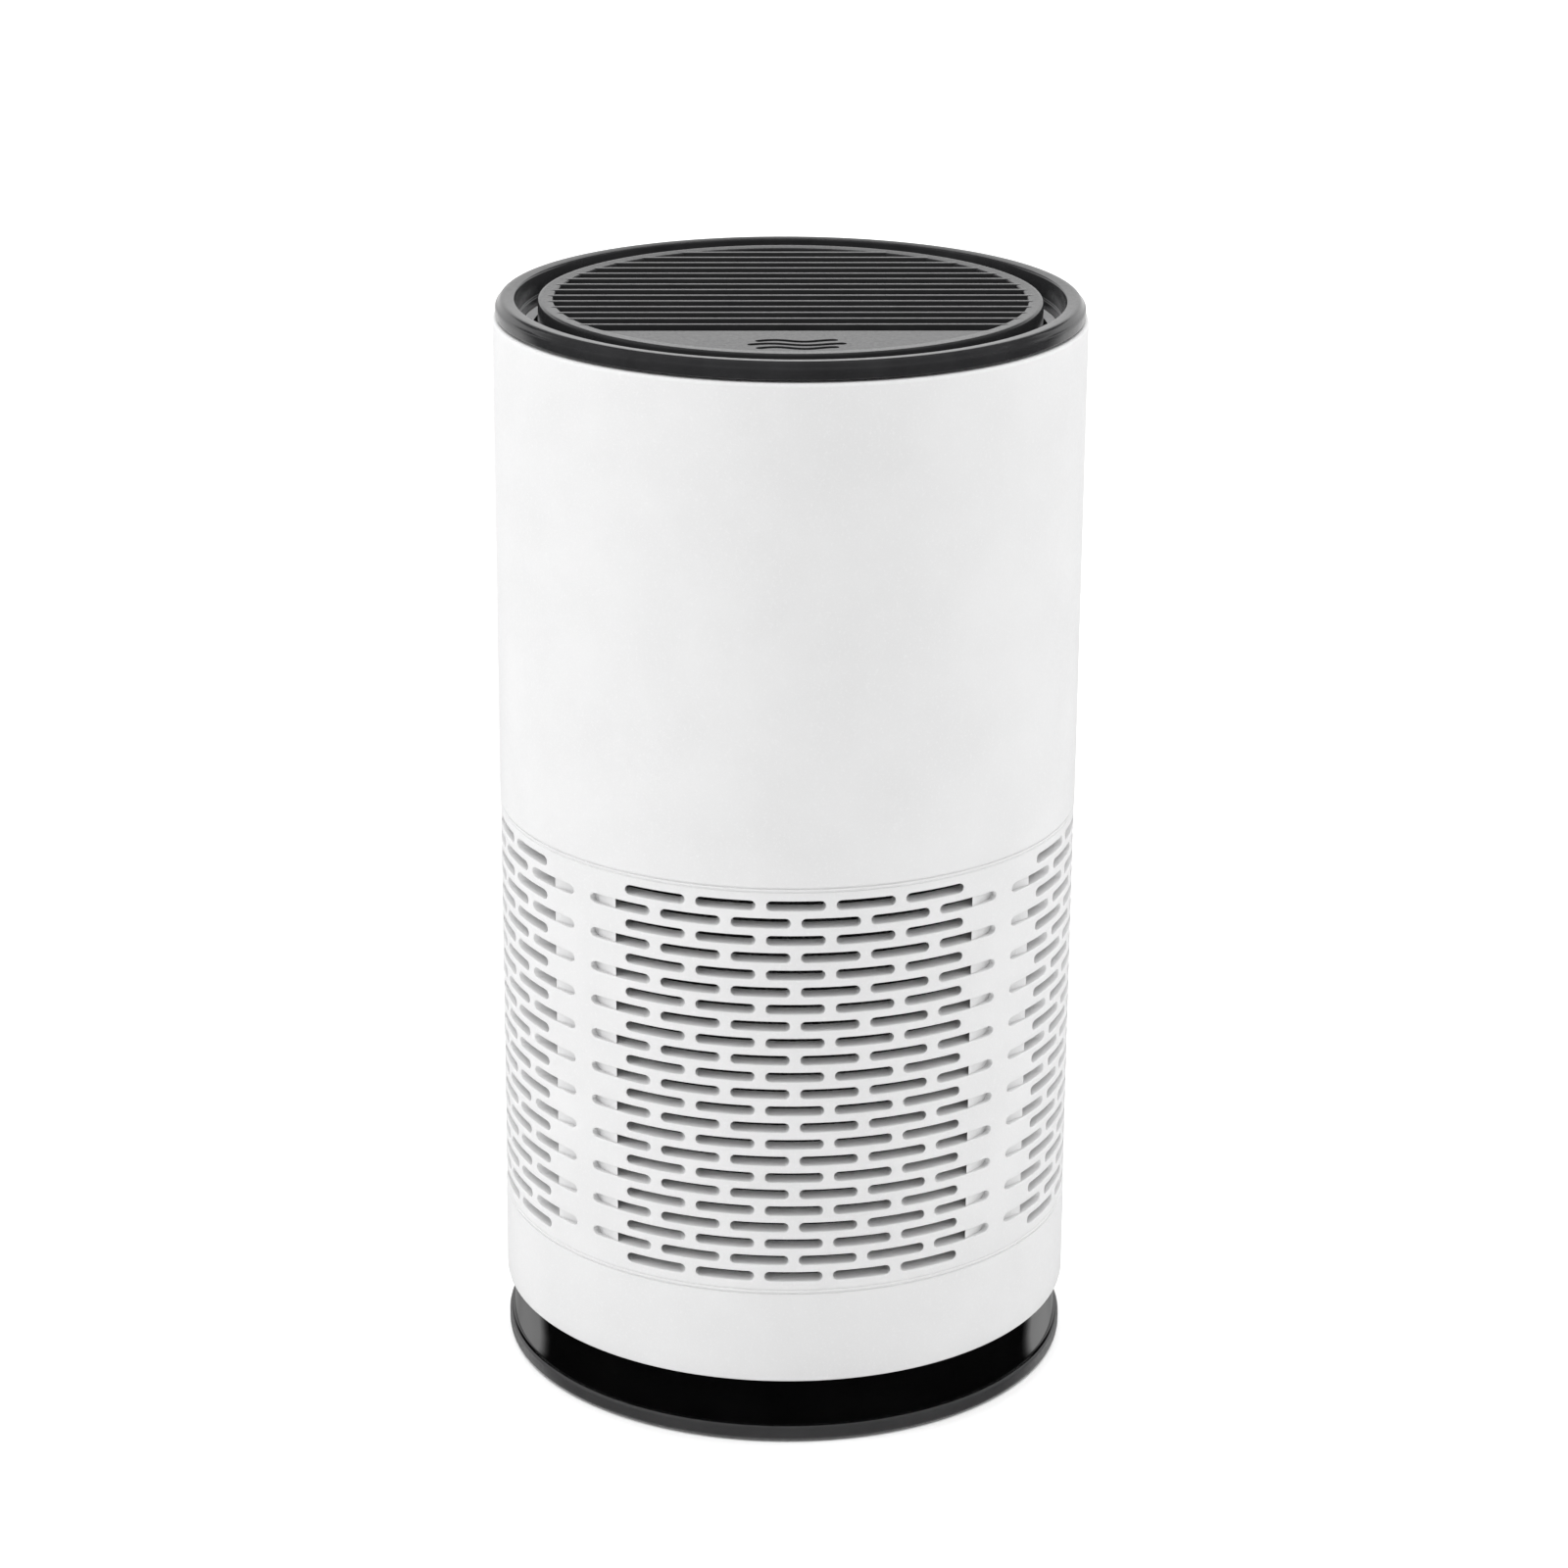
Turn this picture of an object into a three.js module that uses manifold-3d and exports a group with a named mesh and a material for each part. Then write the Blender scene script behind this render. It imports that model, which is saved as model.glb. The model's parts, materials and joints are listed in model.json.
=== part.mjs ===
// A small USB-powered desk air purifier. Air is drawn in through a slotted band, passes a ring
// filter, is lifted by an axial fan and leaves through a louvred disc that is also the power key.
// Millimetres, +Z up. The origin is the middle of the plane that the foot pads stand on, -Y is
// the front and the USB socket is at the back (+Y).

import * as THREE from 'three';
import { mergeVertices } from 'three/addons/utils/BufferGeometryUtils.js';
import Module from 'manifold-3d';

const wasm = await Module();
wasm.setup();

// ---------------------------------------------------------------- driving dimensions

const GAP = 0.3; // assembly gap between pieces that rest on each other
const QUARTERS = [0, 90, 180, 270];
const THIRDS = [30, 150, 270]; // directions of the screws that hold the decks
const OUTER_FACETS = 32; // round outsides that show
const INNER_FACETS = 24; // everything else that is turned

const RING_R = 34.65; // outside of the top ring
const TOTAL_H = 132.1; // crown of the top ring

// outer shell
const SHELL_R = 35;
const SHELL_WALL = 2.35;
const SHELL_IN = SHELL_R - SHELL_WALL;
const SHELL_Z0 = 8.1;
const SHELL_Z1 = 129.85;
const BAND_Z0 = 19.8;
const BAND_Z1 = 70.7;
const BAND_STEP = 0.06; // how far the slotted band is set back
const SLOT_ROWS = 23;
const SLOT_H = 1.2;
const SLOTS_IN_ROW = 5; // short slots side by side in every other row, on each of the four sides
const SLOT_PITCH = 8.1;
const SLOT_LENGTH = 6.9;
const PILLAR_EDGE = 20.85; // the four pillars between the sides start this far from the middle
const FIRST_ROW_TOP = 69.2;
const LAST_ROW_TOP = 22.5;

// bayonet between the housing and the base
const LUG_HALF_ANGLE = 10;
const LUG_R = 32.2;
const LUG_Z0 = 12.9;
const LUG_Z1 = 14.4;
const LEDGE_R = 31;
const LEDGE_Z0 = 11.1;
const LEDGE_FROM = 14;
const LEDGE_TO = 76;
const STOP_RIB_FROM = -39;
const STOP_RIB_TO = -37;

// base
const FOOT_Z0 = 0.3;
const FOOT_FLOOR = 3;
const SINK_TOP = 2.1; // seat of the sunk screw heads under the foot
const FOOT_R = 34.8;
const FOOT_WALL_R = 33.95;
const FOOT_WALL_IN = 31.6;
const FOOT_TOP = SHELL_Z0 - GAP;
const PAD_R = 4;
const PAD_H = 1.1;
const PAD_CIRCLE = 27;
const TRAY_Z0 = 5.5;
const TRAY_Z1 = 7.2;
const TRAY_BOSS_R = 10;
const TRAY_BOSS_Z1 = 8.6;
const SPIGOT_R = 30.6;
const SPIGOT_WALL = 1.6;
const TRAY_SCREW_CIRCLE = 20;

// filter cartridge
const CAP_R = 27.2;
const FILTER_Z0 = TRAY_Z1 + GAP;
const FILTER_Z1 = 74;
const CAP_FLOOR = 10.2;
const CAP_LID = 71.3;
const CAP_RIM_WALL = 0.7;
const CAP_RIM_DEPTH = 2;
const SLEEVE_R = CAP_R - CAP_RIM_WALL - GAP;
const SLEEVE_WALL = 1.8;
const PLEATS = 36;
const PLEAT_OUT = SLEEVE_R - SLEEVE_WALL - GAP;
const PLEAT_IN = 19.5;
const PAPER = 0.5;
const CORE_R = PLEAT_IN - GAP;
const CORE_WALL = 0.8;
const CORE_HOLE = 18;
const GASKET_IN = 19;
const GASKET_OUT = 22;

// decks inside the housing
const DECK_R = 31.9;
const DECK_Z0 = 76;
const DECK_Z1 = 78;
const DECK_INLET = 18.5;
const DECK_SCREW_CIRCLE = 30.2;
const DECK_BOSS_R = 2.5;
const TOP_DECK_Z0 = 116.3;
const TOP_DECK_Z1 = 118.5;
const TOP_DECK_IN = 24.6;
const PANEL_EDGE = -17.4; // chord where the louvres stop and the flat panel starts

// fan and motor
const DUCT_R = 22;
const DUCT_WALL = 1.6;
const DUCT_Z0 = DECK_Z1 + GAP;
const DUCT_Z1 = 97;
const FAN_EAR_CIRCLE = 25.6;
const FAN_EARS = [0, 120, 240];
const MOTOR_BASE_R = 11.2;
const MOTOR_BASE_Z1 = 79.8;
const POST_R = 3.9;
const POST_IN = 2.9;
const POST_Z1 = 89.2;
const SHAFT_R = 1;
const BEARING_IN = 1.05;
const STATOR_Z0 = 82.6;
const STATOR_H = 5;
const POLE_W = 2.4;
const HUB_R = 11.8;
const HUB_Z0 = 81.5;
const HUB_Z1 = 92.9;
const BLADES = 7;
const BLADE_TIP = 21.4;
const BLADE_H = 9;
const BLADE_THICK = 0.9;

// louvred disc, which is the power key
const DISC_TOP = 131.9;
const DISC_R = 29.65;
const DISC_RIM_IN = 27.8;
const DISC_SKIRT_Z0 = 125.9;
const PANEL_THICK = 1.6;
const BAR_PITCH = 3.05;
const BAR_W = 0.8;
const BAR_COUNT = 14;
const BAR_Z0 = 129.2;
const BAR_Z1 = DISC_TOP - 0.05;
const KEY_TRAVEL = 1.2;
const POST_CIRCLE = 28;
const GUIDE_R = 1.5;
const GUIDE_ANGLES = [90, 210, 330];
const SPRING_SEAT_Z0 = 125.3;
const SPRING_SEAT_R = 2.5;
const SPRING_R = 2.2;
const SPRING_WIRE = 0.25;
const SPRING_TURNS = 5;
const SHELF_R = 30.3;
const SHELF_Z0 = 127.6;
const SHELF_Z1 = 128.5;
const LIP_R = 32.35; // inner edge of the ring's top
const COLLAR_R = SHELL_IN - 0.35;
const COLLAR_IN = 30.9;
const COLLAR_Z0 = 124;

// electronics
const SWITCH_AT = [-9, -20];
const BOARD_Z0 = 120.3;
const BOARD_THICK = 1.2;
const SWITCH_TOP = 126.4;
const ICON_Y = -24.1;
const ICON_W = 11;
const ICON_D = 5.6;
const USB_Z = 82;
const USB_W = 8.94;
const USB_H = 3.26;
const USB_MOUTH_W = 8.34;
const USB_MOUTH_H = 2.56;
const USB_Y0 = 27.5;
const USB_Y1 = 34.6;

// ---------------------------------------------------------------- materials

function paint(color, roughness, metalness = 0) {
  return new THREE.MeshStandardMaterial({ color, roughness, metalness });
}

const WHITE_ABS = paint(0xf2f3f3, 0.6);
const BLACK_SATIN = paint(0x1b1c1e, 0.38);
const BLACK_GLOSS = paint(0x060607, 0.08);
const GREY_ABS = paint(0x4a4c50, 0.5);
const RUBBER = paint(0x202022, 0.85);
const CARBON_FOAM = paint(0x0d0d0e, 0.95);
const PAPER_WHITE = paint(0xe9e9e4, 0.9);
const EVA = paint(0x2b2b2d, 0.9);
const STEEL = paint(0xb9bbbe, 0.35, 1);
const COPPER = paint(0xb56a34, 0.35, 1);
const BRONZE = paint(0x9c7a3c, 0.4, 1);
const MAGNET = paint(0x37383b, 0.6, 0.3);
const BOARD_GREEN = paint(0x14502f, 0.5);
const LENS = paint(0x8f959b, 0.12);
const LED_WHITE = paint(0xf4f2e2, 0.3);

// ---------------------------------------------------------------- solids

// A closed geometry as a solid that can be joined and cut.
function toSolid(geometry) {
  const bare = geometry.clone();
  bare.deleteAttribute('normal');
  bare.deleteAttribute('uv');
  const merged = mergeVertices(bare, 1e-4);
  const corner = merged.index.array;
  const triVerts = [];
  for (let i = 0; i < corner.length; i += 3) {
    const [a, b, c] = [corner[i], corner[i + 1], corner[i + 2]];
    if (a !== b && b !== c && c !== a) triVerts.push(a, b, c);
  }
  return new wasm.Manifold(new wasm.Mesh({
    numProp: 3,
    vertProperties: Float32Array.from(merged.attributes.position.array),
    triVerts: Uint32Array.from(triVerts),
  }));
}

function toGeometry(solid) {
  const mesh = solid.getMesh();
  const geometry = new THREE.BufferGeometry();
  geometry.setAttribute('position', new THREE.BufferAttribute(mesh.vertProperties, 3));
  geometry.setIndex(new THREE.BufferAttribute(mesh.triVerts, 1));
  geometry.computeVertexNormals();
  return geometry;
}

function join(solids) {
  return solids.reduce((whole, piece) => whole.add(piece));
}

function cut(solid, tools) {
  return tools.reduce((left, tool) => left.subtract(tool), solid);
}

// A turned solid from its half section, [radius, height] points taken anticlockwise.
function turned(section, facets = INNER_FACETS) {
  const points = [...section, section[0]].map(([r, z]) => new THREE.Vector2(r, z));
  return toSolid(new THREE.LatheGeometry(points, facets).rotateX(Math.PI / 2));
}

function tube(rIn, rOut, z0, z1, facets = INNER_FACETS) {
  return turned([[rIn, z0], [rOut, z0], [rOut, z1], [rIn, z1]], facets);
}

function rod(r, z0, z1, [x, y] = [0, 0], facets = 10) {
  const geometry = new THREE.CylinderGeometry(r, r, z1 - z0, facets).rotateX(Math.PI / 2);
  return toSolid(geometry.translate(x, y, (z0 + z1) / 2));
}

function block([x0, x1], [y0, y1], [z0, z1]) {
  const geometry = new THREE.BoxGeometry(x1 - x0, y1 - y0, z1 - z0);
  return toSolid(geometry.translate((x0 + x1) / 2, (y0 + y1) / 2, (z0 + z1) / 2));
}

function slab(shape, z0, z1, curveSegments = 12) {
  const geometry = new THREE.ExtrudeGeometry(shape, {
    depth: z1 - z0,
    bevelEnabled: false,
    curveSegments,
  });
  return toSolid(geometry.translate(0, 0, z0));
}

// Part of a ring between two directions, in degrees from +X.
function sector(rIn, rOut, from, to, z0, z1, curveSegments = 4) {
  const [a, b] = [THREE.MathUtils.degToRad(from), THREE.MathUtils.degToRad(to)];
  const shape = new THREE.Shape();
  shape.absarc(0, 0, rOut, a, b, false);
  shape.absarc(0, 0, rIn, b, a, true);
  shape.closePath();
  return slab(shape, z0, z1, curveSegments);
}

function roundedRect(w, h, r) {
  const shape = new THREE.Shape();
  shape.moveTo(-w / 2 + r, -h / 2);
  shape.lineTo(w / 2 - r, -h / 2);
  shape.absarc(w / 2 - r, -h / 2 + r, r, -Math.PI / 2, 0, false);
  shape.absarc(w / 2 - r, h / 2 - r, r, 0, Math.PI / 2, false);
  shape.absarc(-w / 2 + r, h / 2 - r, r, Math.PI / 2, Math.PI, false);
  shape.absarc(-w / 2 + r, -h / 2 + r, r, Math.PI, Math.PI * 1.5, false);
  return shape;
}

function polar(r, degrees) {
  const a = THREE.MathUtils.degToRad(degrees);
  return [r * Math.cos(a), r * Math.sin(a)];
}

function part(name, solid, material, at = [0, 0, 0]) {
  const mesh = new THREE.Mesh(toGeometry(solid), material);
  mesh.name = name;
  mesh.position.set(...at);
  return mesh;
}

function assembly(...pieces) {
  const group = new THREE.Group();
  group.add(...pieces.flat());
  return group;
}

// A pan-head screw with a cross recess, its head seated at z = 0 and its shank pointing down.
function screw(shankLength, headR = 1.9) {
  const headH = 1.3;
  const head = rod(headR, 0, headH);
  const shank = rod(0.85, -shankLength, 0.2, [0, 0], 6);
  const slot = [headR * 0.6, 0.25];
  const recess = [slot, [slot[1], slot[0]]].map(([x, y]) => (
    block([-x, x], [-y, y], [headH - 0.6, headH + 0.2])));
  return cut(head.add(shank), recess);
}

function screws(prefix, solid, circle, angles, z, flipped = false) {
  return angles.map((angle, i) => {
    const mesh = part(`${prefix}_${i + 1}`, solid, STEEL, [...polar(circle, angle), z]);
    if (flipped) mesh.rotation.x = Math.PI;
    return mesh;
  });
}

// ---------------------------------------------------------------- base

function baseFoot() {
  const body = turned([
    [0, FOOT_Z0], [FOOT_R - 0.5, FOOT_Z0], [FOOT_R - 0.1, FOOT_Z0 + 0.4], [FOOT_R, FOOT_Z0 + 0.9],
    [FOOT_R - 0.1, FOOT_Z0 + 1.4], [FOOT_R - 0.5, FOOT_Z0 + 1.8], [FOOT_WALL_R + 0.2, FOOT_Z0 + 3.5],
    [FOOT_WALL_R, FOOT_TOP], [FOOT_WALL_IN, FOOT_TOP],
    [FOOT_WALL_IN, FOOT_FLOOR], [0, FOOT_FLOOR],
  ], OUTER_FACETS);
  const pockets = QUARTERS.map((a) => (
    rod(PAD_R + GAP, -1, PAD_H + GAP, polar(PAD_CIRCLE, a + 45), 16)));
  const bores = THIRDS.map((a) => rod(1.1, -1, FOOT_FLOOR + 1, polar(TRAY_SCREW_CIRCLE, a)));
  const sinks = THIRDS.map((a) => rod(2.3, -1, SINK_TOP, polar(TRAY_SCREW_CIRCLE, a)));
  return cut(body, [...pockets, ...bores, ...sinks]);
}

function filterTray() {
  const plate = rod(FOOT_WALL_IN - GAP, TRAY_Z0, TRAY_Z1, [0, 0], INNER_FACETS);
  const spigot = tube(SPIGOT_R - SPIGOT_WALL, SPIGOT_R, TRAY_Z1 - 0.5, LUG_Z1);
  const boss = rod(TRAY_BOSS_R, TRAY_Z1 - 0.5, TRAY_BOSS_Z1, [0, 0], INNER_FACETS);
  const lugs = QUARTERS.map((a) => (
    sector(SPIGOT_R - 0.8, LUG_R, a - LUG_HALF_ANGLE, a + LUG_HALF_ANGLE, LUG_Z0, LUG_Z1, 2)));
  const posts = THIRDS.map((a) => (
    rod(2.8, FOOT_FLOOR + GAP, TRAY_Z0 + 0.5, polar(TRAY_SCREW_CIRCLE, a))));
  const pilots = THIRDS.map((a) => rod(1, 0, TRAY_Z0 + 0.6, polar(TRAY_SCREW_CIRCLE, a)));
  return cut(join([plate, spigot, boss, ...lugs, ...posts]), pilots);
}

function base() {
  const pads = QUARTERS.map((a, i) => part(
    `foot_pad_${i + 1}`, rod(PAD_R, 0, PAD_H, [0, 0], 16), RUBBER, [...polar(PAD_CIRCLE, a + 45), 0]));
  return assembly(
    part('base_foot', baseFoot(), BLACK_GLOSS),
    part('filter_tray', filterTray(), BLACK_SATIN),
    pads,
    screws('tray_screw', screw(3.5), TRAY_SCREW_CIRCLE, THIRDS, SINK_TOP - 0.1, true),
  );
}

// ---------------------------------------------------------------- filter cartridge

function pleatedPaper() {
  const corners = (offset) => Array.from({ length: PLEATS * 2 }, (_, i) => {
    const r = (i % 2 ? PLEAT_IN + PAPER : PLEAT_OUT) - offset;
    return new THREE.Vector2(...polar(r, i * 180 / PLEATS));
  });
  const shape = new THREE.Shape(corners(0));
  shape.holes.push(new THREE.Path(corners(PAPER)));
  return slab(shape, CAP_FLOOR + GAP, CAP_LID - GAP);
}

// The perforated tube that keeps the pleats from collapsing inwards.
function coreTube() {
  const rows = 3;
  const columns = 6;
  const z0 = CAP_FLOOR + GAP;
  const pitch = (CAP_LID - GAP - z0) / rows;
  const windows = [];
  for (let row = 0; row < rows; row += 1) {
    for (let column = 0; column < columns / 2; column += 1) {
      const z = z0 + pitch * (row + 0.5);
      const across = new THREE.BoxGeometry(CORE_R * 3, 12, pitch * 0.8);
      windows.push(toSolid(across.rotateZ(column * 2 * Math.PI / columns).translate(0, 0, z)));
    }
  }
  return cut(tube(CORE_R - CORE_WALL, CORE_R, z0, CAP_LID - GAP), windows);
}

function filter() {
  const rimIn = CAP_R - CAP_RIM_WALL;
  const socketTop = TRAY_BOSS_Z1 + GAP;
  const bottomCap = turned([
    [0, socketTop], [TRAY_BOSS_R + GAP, socketTop], [TRAY_BOSS_R + GAP, FILTER_Z0],
    [CAP_R, FILTER_Z0], [CAP_R, CAP_FLOOR + CAP_RIM_DEPTH], [rimIn, CAP_FLOOR + CAP_RIM_DEPTH],
    [rimIn, CAP_FLOOR], [0, CAP_FLOOR],
  ]);
  const topCap = turned([
    [CORE_HOLE, CAP_LID], [rimIn, CAP_LID], [rimIn, CAP_LID - CAP_RIM_DEPTH],
    [CAP_R, CAP_LID - CAP_RIM_DEPTH], [CAP_R, FILTER_Z1], [CORE_HOLE, FILTER_Z1],
  ]);
  const sleeve = tube(SLEEVE_R - SLEEVE_WALL, SLEEVE_R, CAP_FLOOR + GAP, CAP_LID - GAP);
  return assembly(
    part('filter_bottom_cap', bottomCap, BLACK_SATIN),
    part('filter_top_cap', topCap, BLACK_SATIN),
    part('prefilter_sleeve', sleeve, CARBON_FOAM),
    part('hepa_pleats', pleatedPaper(), PAPER_WHITE),
    part('core_tube', coreTube(), WHITE_ABS),
    part('seal_gasket', tube(GASKET_IN, GASKET_OUT, FILTER_Z1 + GAP, DECK_Z0 - GAP), EVA),
  );
}

// ---------------------------------------------------------------- outer shell and top ring

// The slots are cut straight in from the front, back and sides. Each row is one long opening
// that stands for a row of short slots, half a pitch out of step from one row to the next.
function slotCutters() {
  const rowPitch = (FIRST_ROW_TOP - LAST_ROW_TOP) / (SLOT_ROWS - 1);
  const fullRow = (SLOTS_IN_ROW - 1) * SLOT_PITCH + SLOT_LENGTH;
  const cutters = [];
  for (let row = 0; row < SLOT_ROWS; row += 1) {
    const top = FIRST_ROW_TOP - row * rowPitch;
    const length = row % 2 ? PILLAR_EDGE * 2 : fullRow;
    for (const angle of QUARTERS) {
      const bar = new THREE.BoxGeometry(length, 16, SLOT_H);
      bar.translate(0, -28, top - SLOT_H / 2).rotateZ(THREE.MathUtils.degToRad(angle));
      cutters.push(toSolid(bar));
    }
  }
  return cutters;
}

function outerShell() {
  const bandR = SHELL_R - BAND_STEP;
  const wall = turned([
    [SHELL_R - 0.4, SHELL_Z0], [SHELL_R, SHELL_Z0 + 0.5], [SHELL_R, BAND_Z0 - 0.1],
    [bandR, BAND_Z0 + 0.1], [bandR, BAND_Z1 - 0.1], [SHELL_R, BAND_Z1 + 0.1],
    [SHELL_R, SHELL_Z1 - 0.35], [SHELL_R - 0.35, SHELL_Z1], [SHELL_IN, SHELL_Z1],
    [SHELL_IN, DECK_Z0 - GAP], [COLLAR_IN, DECK_Z0 - GAP], [COLLAR_IN, DECK_Z0 - 1.4],
    [SHELL_IN, DECK_Z0 - 3], [SHELL_IN, SHELL_Z0],
  ]);
  const inWall = SHELL_IN + 0.9;
  const ledges = QUARTERS.flatMap((a) => [
    sector(LEDGE_R, inWall, a + LEDGE_FROM, a + LEDGE_TO, LEDGE_Z0, LUG_Z0 - GAP),
    sector(LEDGE_R, inWall, a + STOP_RIB_FROM, a + STOP_RIB_TO, LEDGE_Z0, LUG_Z1 + 0.6, 1),
  ]);
  const bosses = THIRDS.flatMap((a) => [
    rod(DECK_BOSS_R, DECK_Z0 - 5.4, DECK_Z0 - GAP, polar(DECK_SCREW_CIRCLE, a)),
    rod(DECK_BOSS_R, TOP_DECK_Z0 - 7, TOP_DECK_Z0 - GAP, polar(DECK_SCREW_CIRCLE, a)),
  ]);
  const pilots = THIRDS.flatMap((a) => [
    rod(1, DECK_Z0 - 4.8, DECK_Z0, polar(DECK_SCREW_CIRCLE, a)),
    rod(1, TOP_DECK_Z0 - 6, TOP_DECK_Z0, polar(DECK_SCREW_CIRCLE, a)),
  ]);
  const usbWindow = slab(roundedRect(USB_W + 2 * GAP, USB_H + 2 * GAP, 1.6), 0, 8, 3);
  const atBack = usbWindow.rotate([90, 0, 0]).translate([0, SHELL_R + 2, USB_Z]);
  return cut(join([wall, ...ledges, ...bosses]), [join(slotCutters()), ...pilots, atBack]);
}

function topRing() {
  return turned([
    [COLLAR_IN, COLLAR_Z0], [DECK_R, COLLAR_Z0], [COLLAR_R, COLLAR_Z0 + 1],
    [COLLAR_R, SHELL_Z1 + 0.25], [RING_R - 0.1, SHELL_Z1 + 0.25], [RING_R, SHELL_Z1 + 0.35],
    [RING_R, TOTAL_H - 1], [RING_R - 0.25, TOTAL_H - 0.65], [LIP_R + 1.25, TOTAL_H - 0.08],
    [LIP_R + 0.85, TOTAL_H], [LIP_R + 0.45, TOTAL_H - 0.04], [LIP_R, TOTAL_H - 0.25],
    [LIP_R - 0.3, SHELF_Z1 + 1.1], [LIP_R - 0.6, SHELF_Z1 + 1], [LIP_R - 0.7, SHELF_Z1],
    [SHELF_R, SHELF_Z1], [SHELF_R, SHELF_Z0], [COLLAR_IN, SHELF_Z0],
  ], OUTER_FACETS);
}

// ---------------------------------------------------------------- decks and air path

function fanDeck() {
  const deck = tube(DECK_INLET, DECK_R, DECK_Z0, DECK_Z1);
  const posts = [-5.5, 5.5].map((x) => rod(1.2, DECK_Z1 - 0.5, USB_Z - USB_H / 2 - 1.6, [x, 26.5]));
  const holes = THIRDS.map((a) => rod(1.2, DECK_Z0 - 1, DECK_Z1 + 1, polar(DECK_SCREW_CIRCLE, a)));
  const pilots = FAN_EARS.map((a) => rod(1, DECK_Z0 - 1, DECK_Z1 + 1, polar(FAN_EAR_CIRCLE, a)));
  return cut(join([deck, ...posts]), [...holes, ...pilots]);
}

function fanFrame() {
  const duct = tube(DUCT_R, DUCT_R + DUCT_WALL, DUCT_Z0, DUCT_Z1);
  const ears = FAN_EARS.map((a) => rod(2.6, DUCT_Z0, DUCT_Z0 + 1.5, polar(FAN_EAR_CIRCLE, a)));
  const seat = rod(MOTOR_BASE_R, DUCT_Z0, MOTOR_BASE_Z1, [0, 0], INNER_FACETS);
  const post = tube(POST_IN, POST_R, MOTOR_BASE_Z1 - 0.5, POST_Z1, 16);
  const struts = FAN_EARS.map((a) => {
    const bar = new THREE.BoxGeometry(DUCT_R - MOTOR_BASE_R + 2, 2.2, MOTOR_BASE_Z1 - DUCT_Z0);
    bar.translate((DUCT_R + MOTOR_BASE_R) / 2, 0, (DUCT_Z0 + MOTOR_BASE_Z1) / 2);
    return toSolid(bar.rotateZ(THREE.MathUtils.degToRad(a)));
  });
  const holes = FAN_EARS.map((a) => (
    rod(1.2, DUCT_Z0 - 1, DUCT_Z0 + 3, polar(FAN_EAR_CIRCLE, a))));
  return cut(join([duct, ...ears, seat, post, ...struts]), holes);
}

function topDeck() {
  const deck = tube(TOP_DECK_IN, DECK_R, TOP_DECK_Z0, TOP_DECK_Z1);
  const edge = Math.acos(-PANEL_EDGE / (TOP_DECK_IN + 1));
  const segment = new THREE.Shape();
  segment.absarc(0, 0, TOP_DECK_IN + 1, -Math.PI / 2 - edge, -Math.PI / 2 + edge, false);
  const floor = slab(segment, TOP_DECK_Z0, TOP_DECK_Z1, 10);
  const posts = [-14, 14].map((x) => rod(1.4, TOP_DECK_Z1 - 0.5, BOARD_Z0 - GAP, [x, -19.4]));
  const guides = GUIDE_ANGLES.map((a) => (
    rod(GUIDE_R + GAP, TOP_DECK_Z0 - 1, TOP_DECK_Z1 + 1, polar(POST_CIRCLE, a))));
  const holes = THIRDS.map((a) => (
    rod(1.2, TOP_DECK_Z0 - 1, TOP_DECK_Z1 + 1, polar(DECK_SCREW_CIRCLE, a))));
  return cut(join([deck, floor, ...posts]), [...guides, ...holes]);
}

function airPath() {
  const rise = TOP_DECK_Z0 - GAP;
  const diffuser = turned([
    [DUCT_R, DUCT_Z1 + GAP], [DUCT_R + 1.4, DUCT_Z1 + GAP],
    [TOP_DECK_IN + 1.4, rise], [TOP_DECK_IN, rise],
  ]);
  return [
    part('fan_deck', fanDeck(), GREY_ABS),
    part('fan_frame', fanFrame(), GREY_ABS),
    part('outlet_diffuser', diffuser, GREY_ABS),
    part('top_deck', topDeck(), GREY_ABS),
    screws('deck_screw', screw(4.8), DECK_SCREW_CIRCLE, THIRDS, DECK_Z1 + GAP),
    screws('fan_screw', screw(3.2), FAN_EAR_CIRCLE, FAN_EARS, DUCT_Z0 + 1.5 + GAP),
    screws('top_deck_screw', screw(6), DECK_SCREW_CIRCLE, THIRDS, TOP_DECK_Z1 + GAP),
  ];
}

// ---------------------------------------------------------------- motor

function statorCore() {
  const hub = tube(POST_R + GAP, 5.4, STATOR_Z0, STATOR_Z0 + STATOR_H, 16);
  const poles = QUARTERS.flatMap((a) => {
    const neck = new THREE.BoxGeometry(2.8, POLE_W, STATOR_H);
    neck.translate(6.4, 0, STATOR_Z0 + STATOR_H / 2).rotateZ(THREE.MathUtils.degToRad(a));
    return [
      toSolid(neck),
      sector(7.6, 8.3, a - 24, a + 24, STATOR_Z0, STATOR_Z0 + STATOR_H, 2),
    ];
  });
  return join([hub, ...poles]);
}

// One winding, a rectangular ring round a pole that points along +X.
function statorCoil() {
  const outer = [POLE_W / 2 + GAP + 0.8, STATOR_H / 2 + GAP + 0.8];
  const inner = [POLE_W / 2 + GAP, STATOR_H / 2 + GAP];
  const bulk = block([5.7, 6.8], [-outer[0], outer[0]], [-outer[1], outer[1]]);
  return cut(bulk, [block([5, 8], [-inner[0], inner[0]], [-inner[1], inner[1]])]);
}

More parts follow.
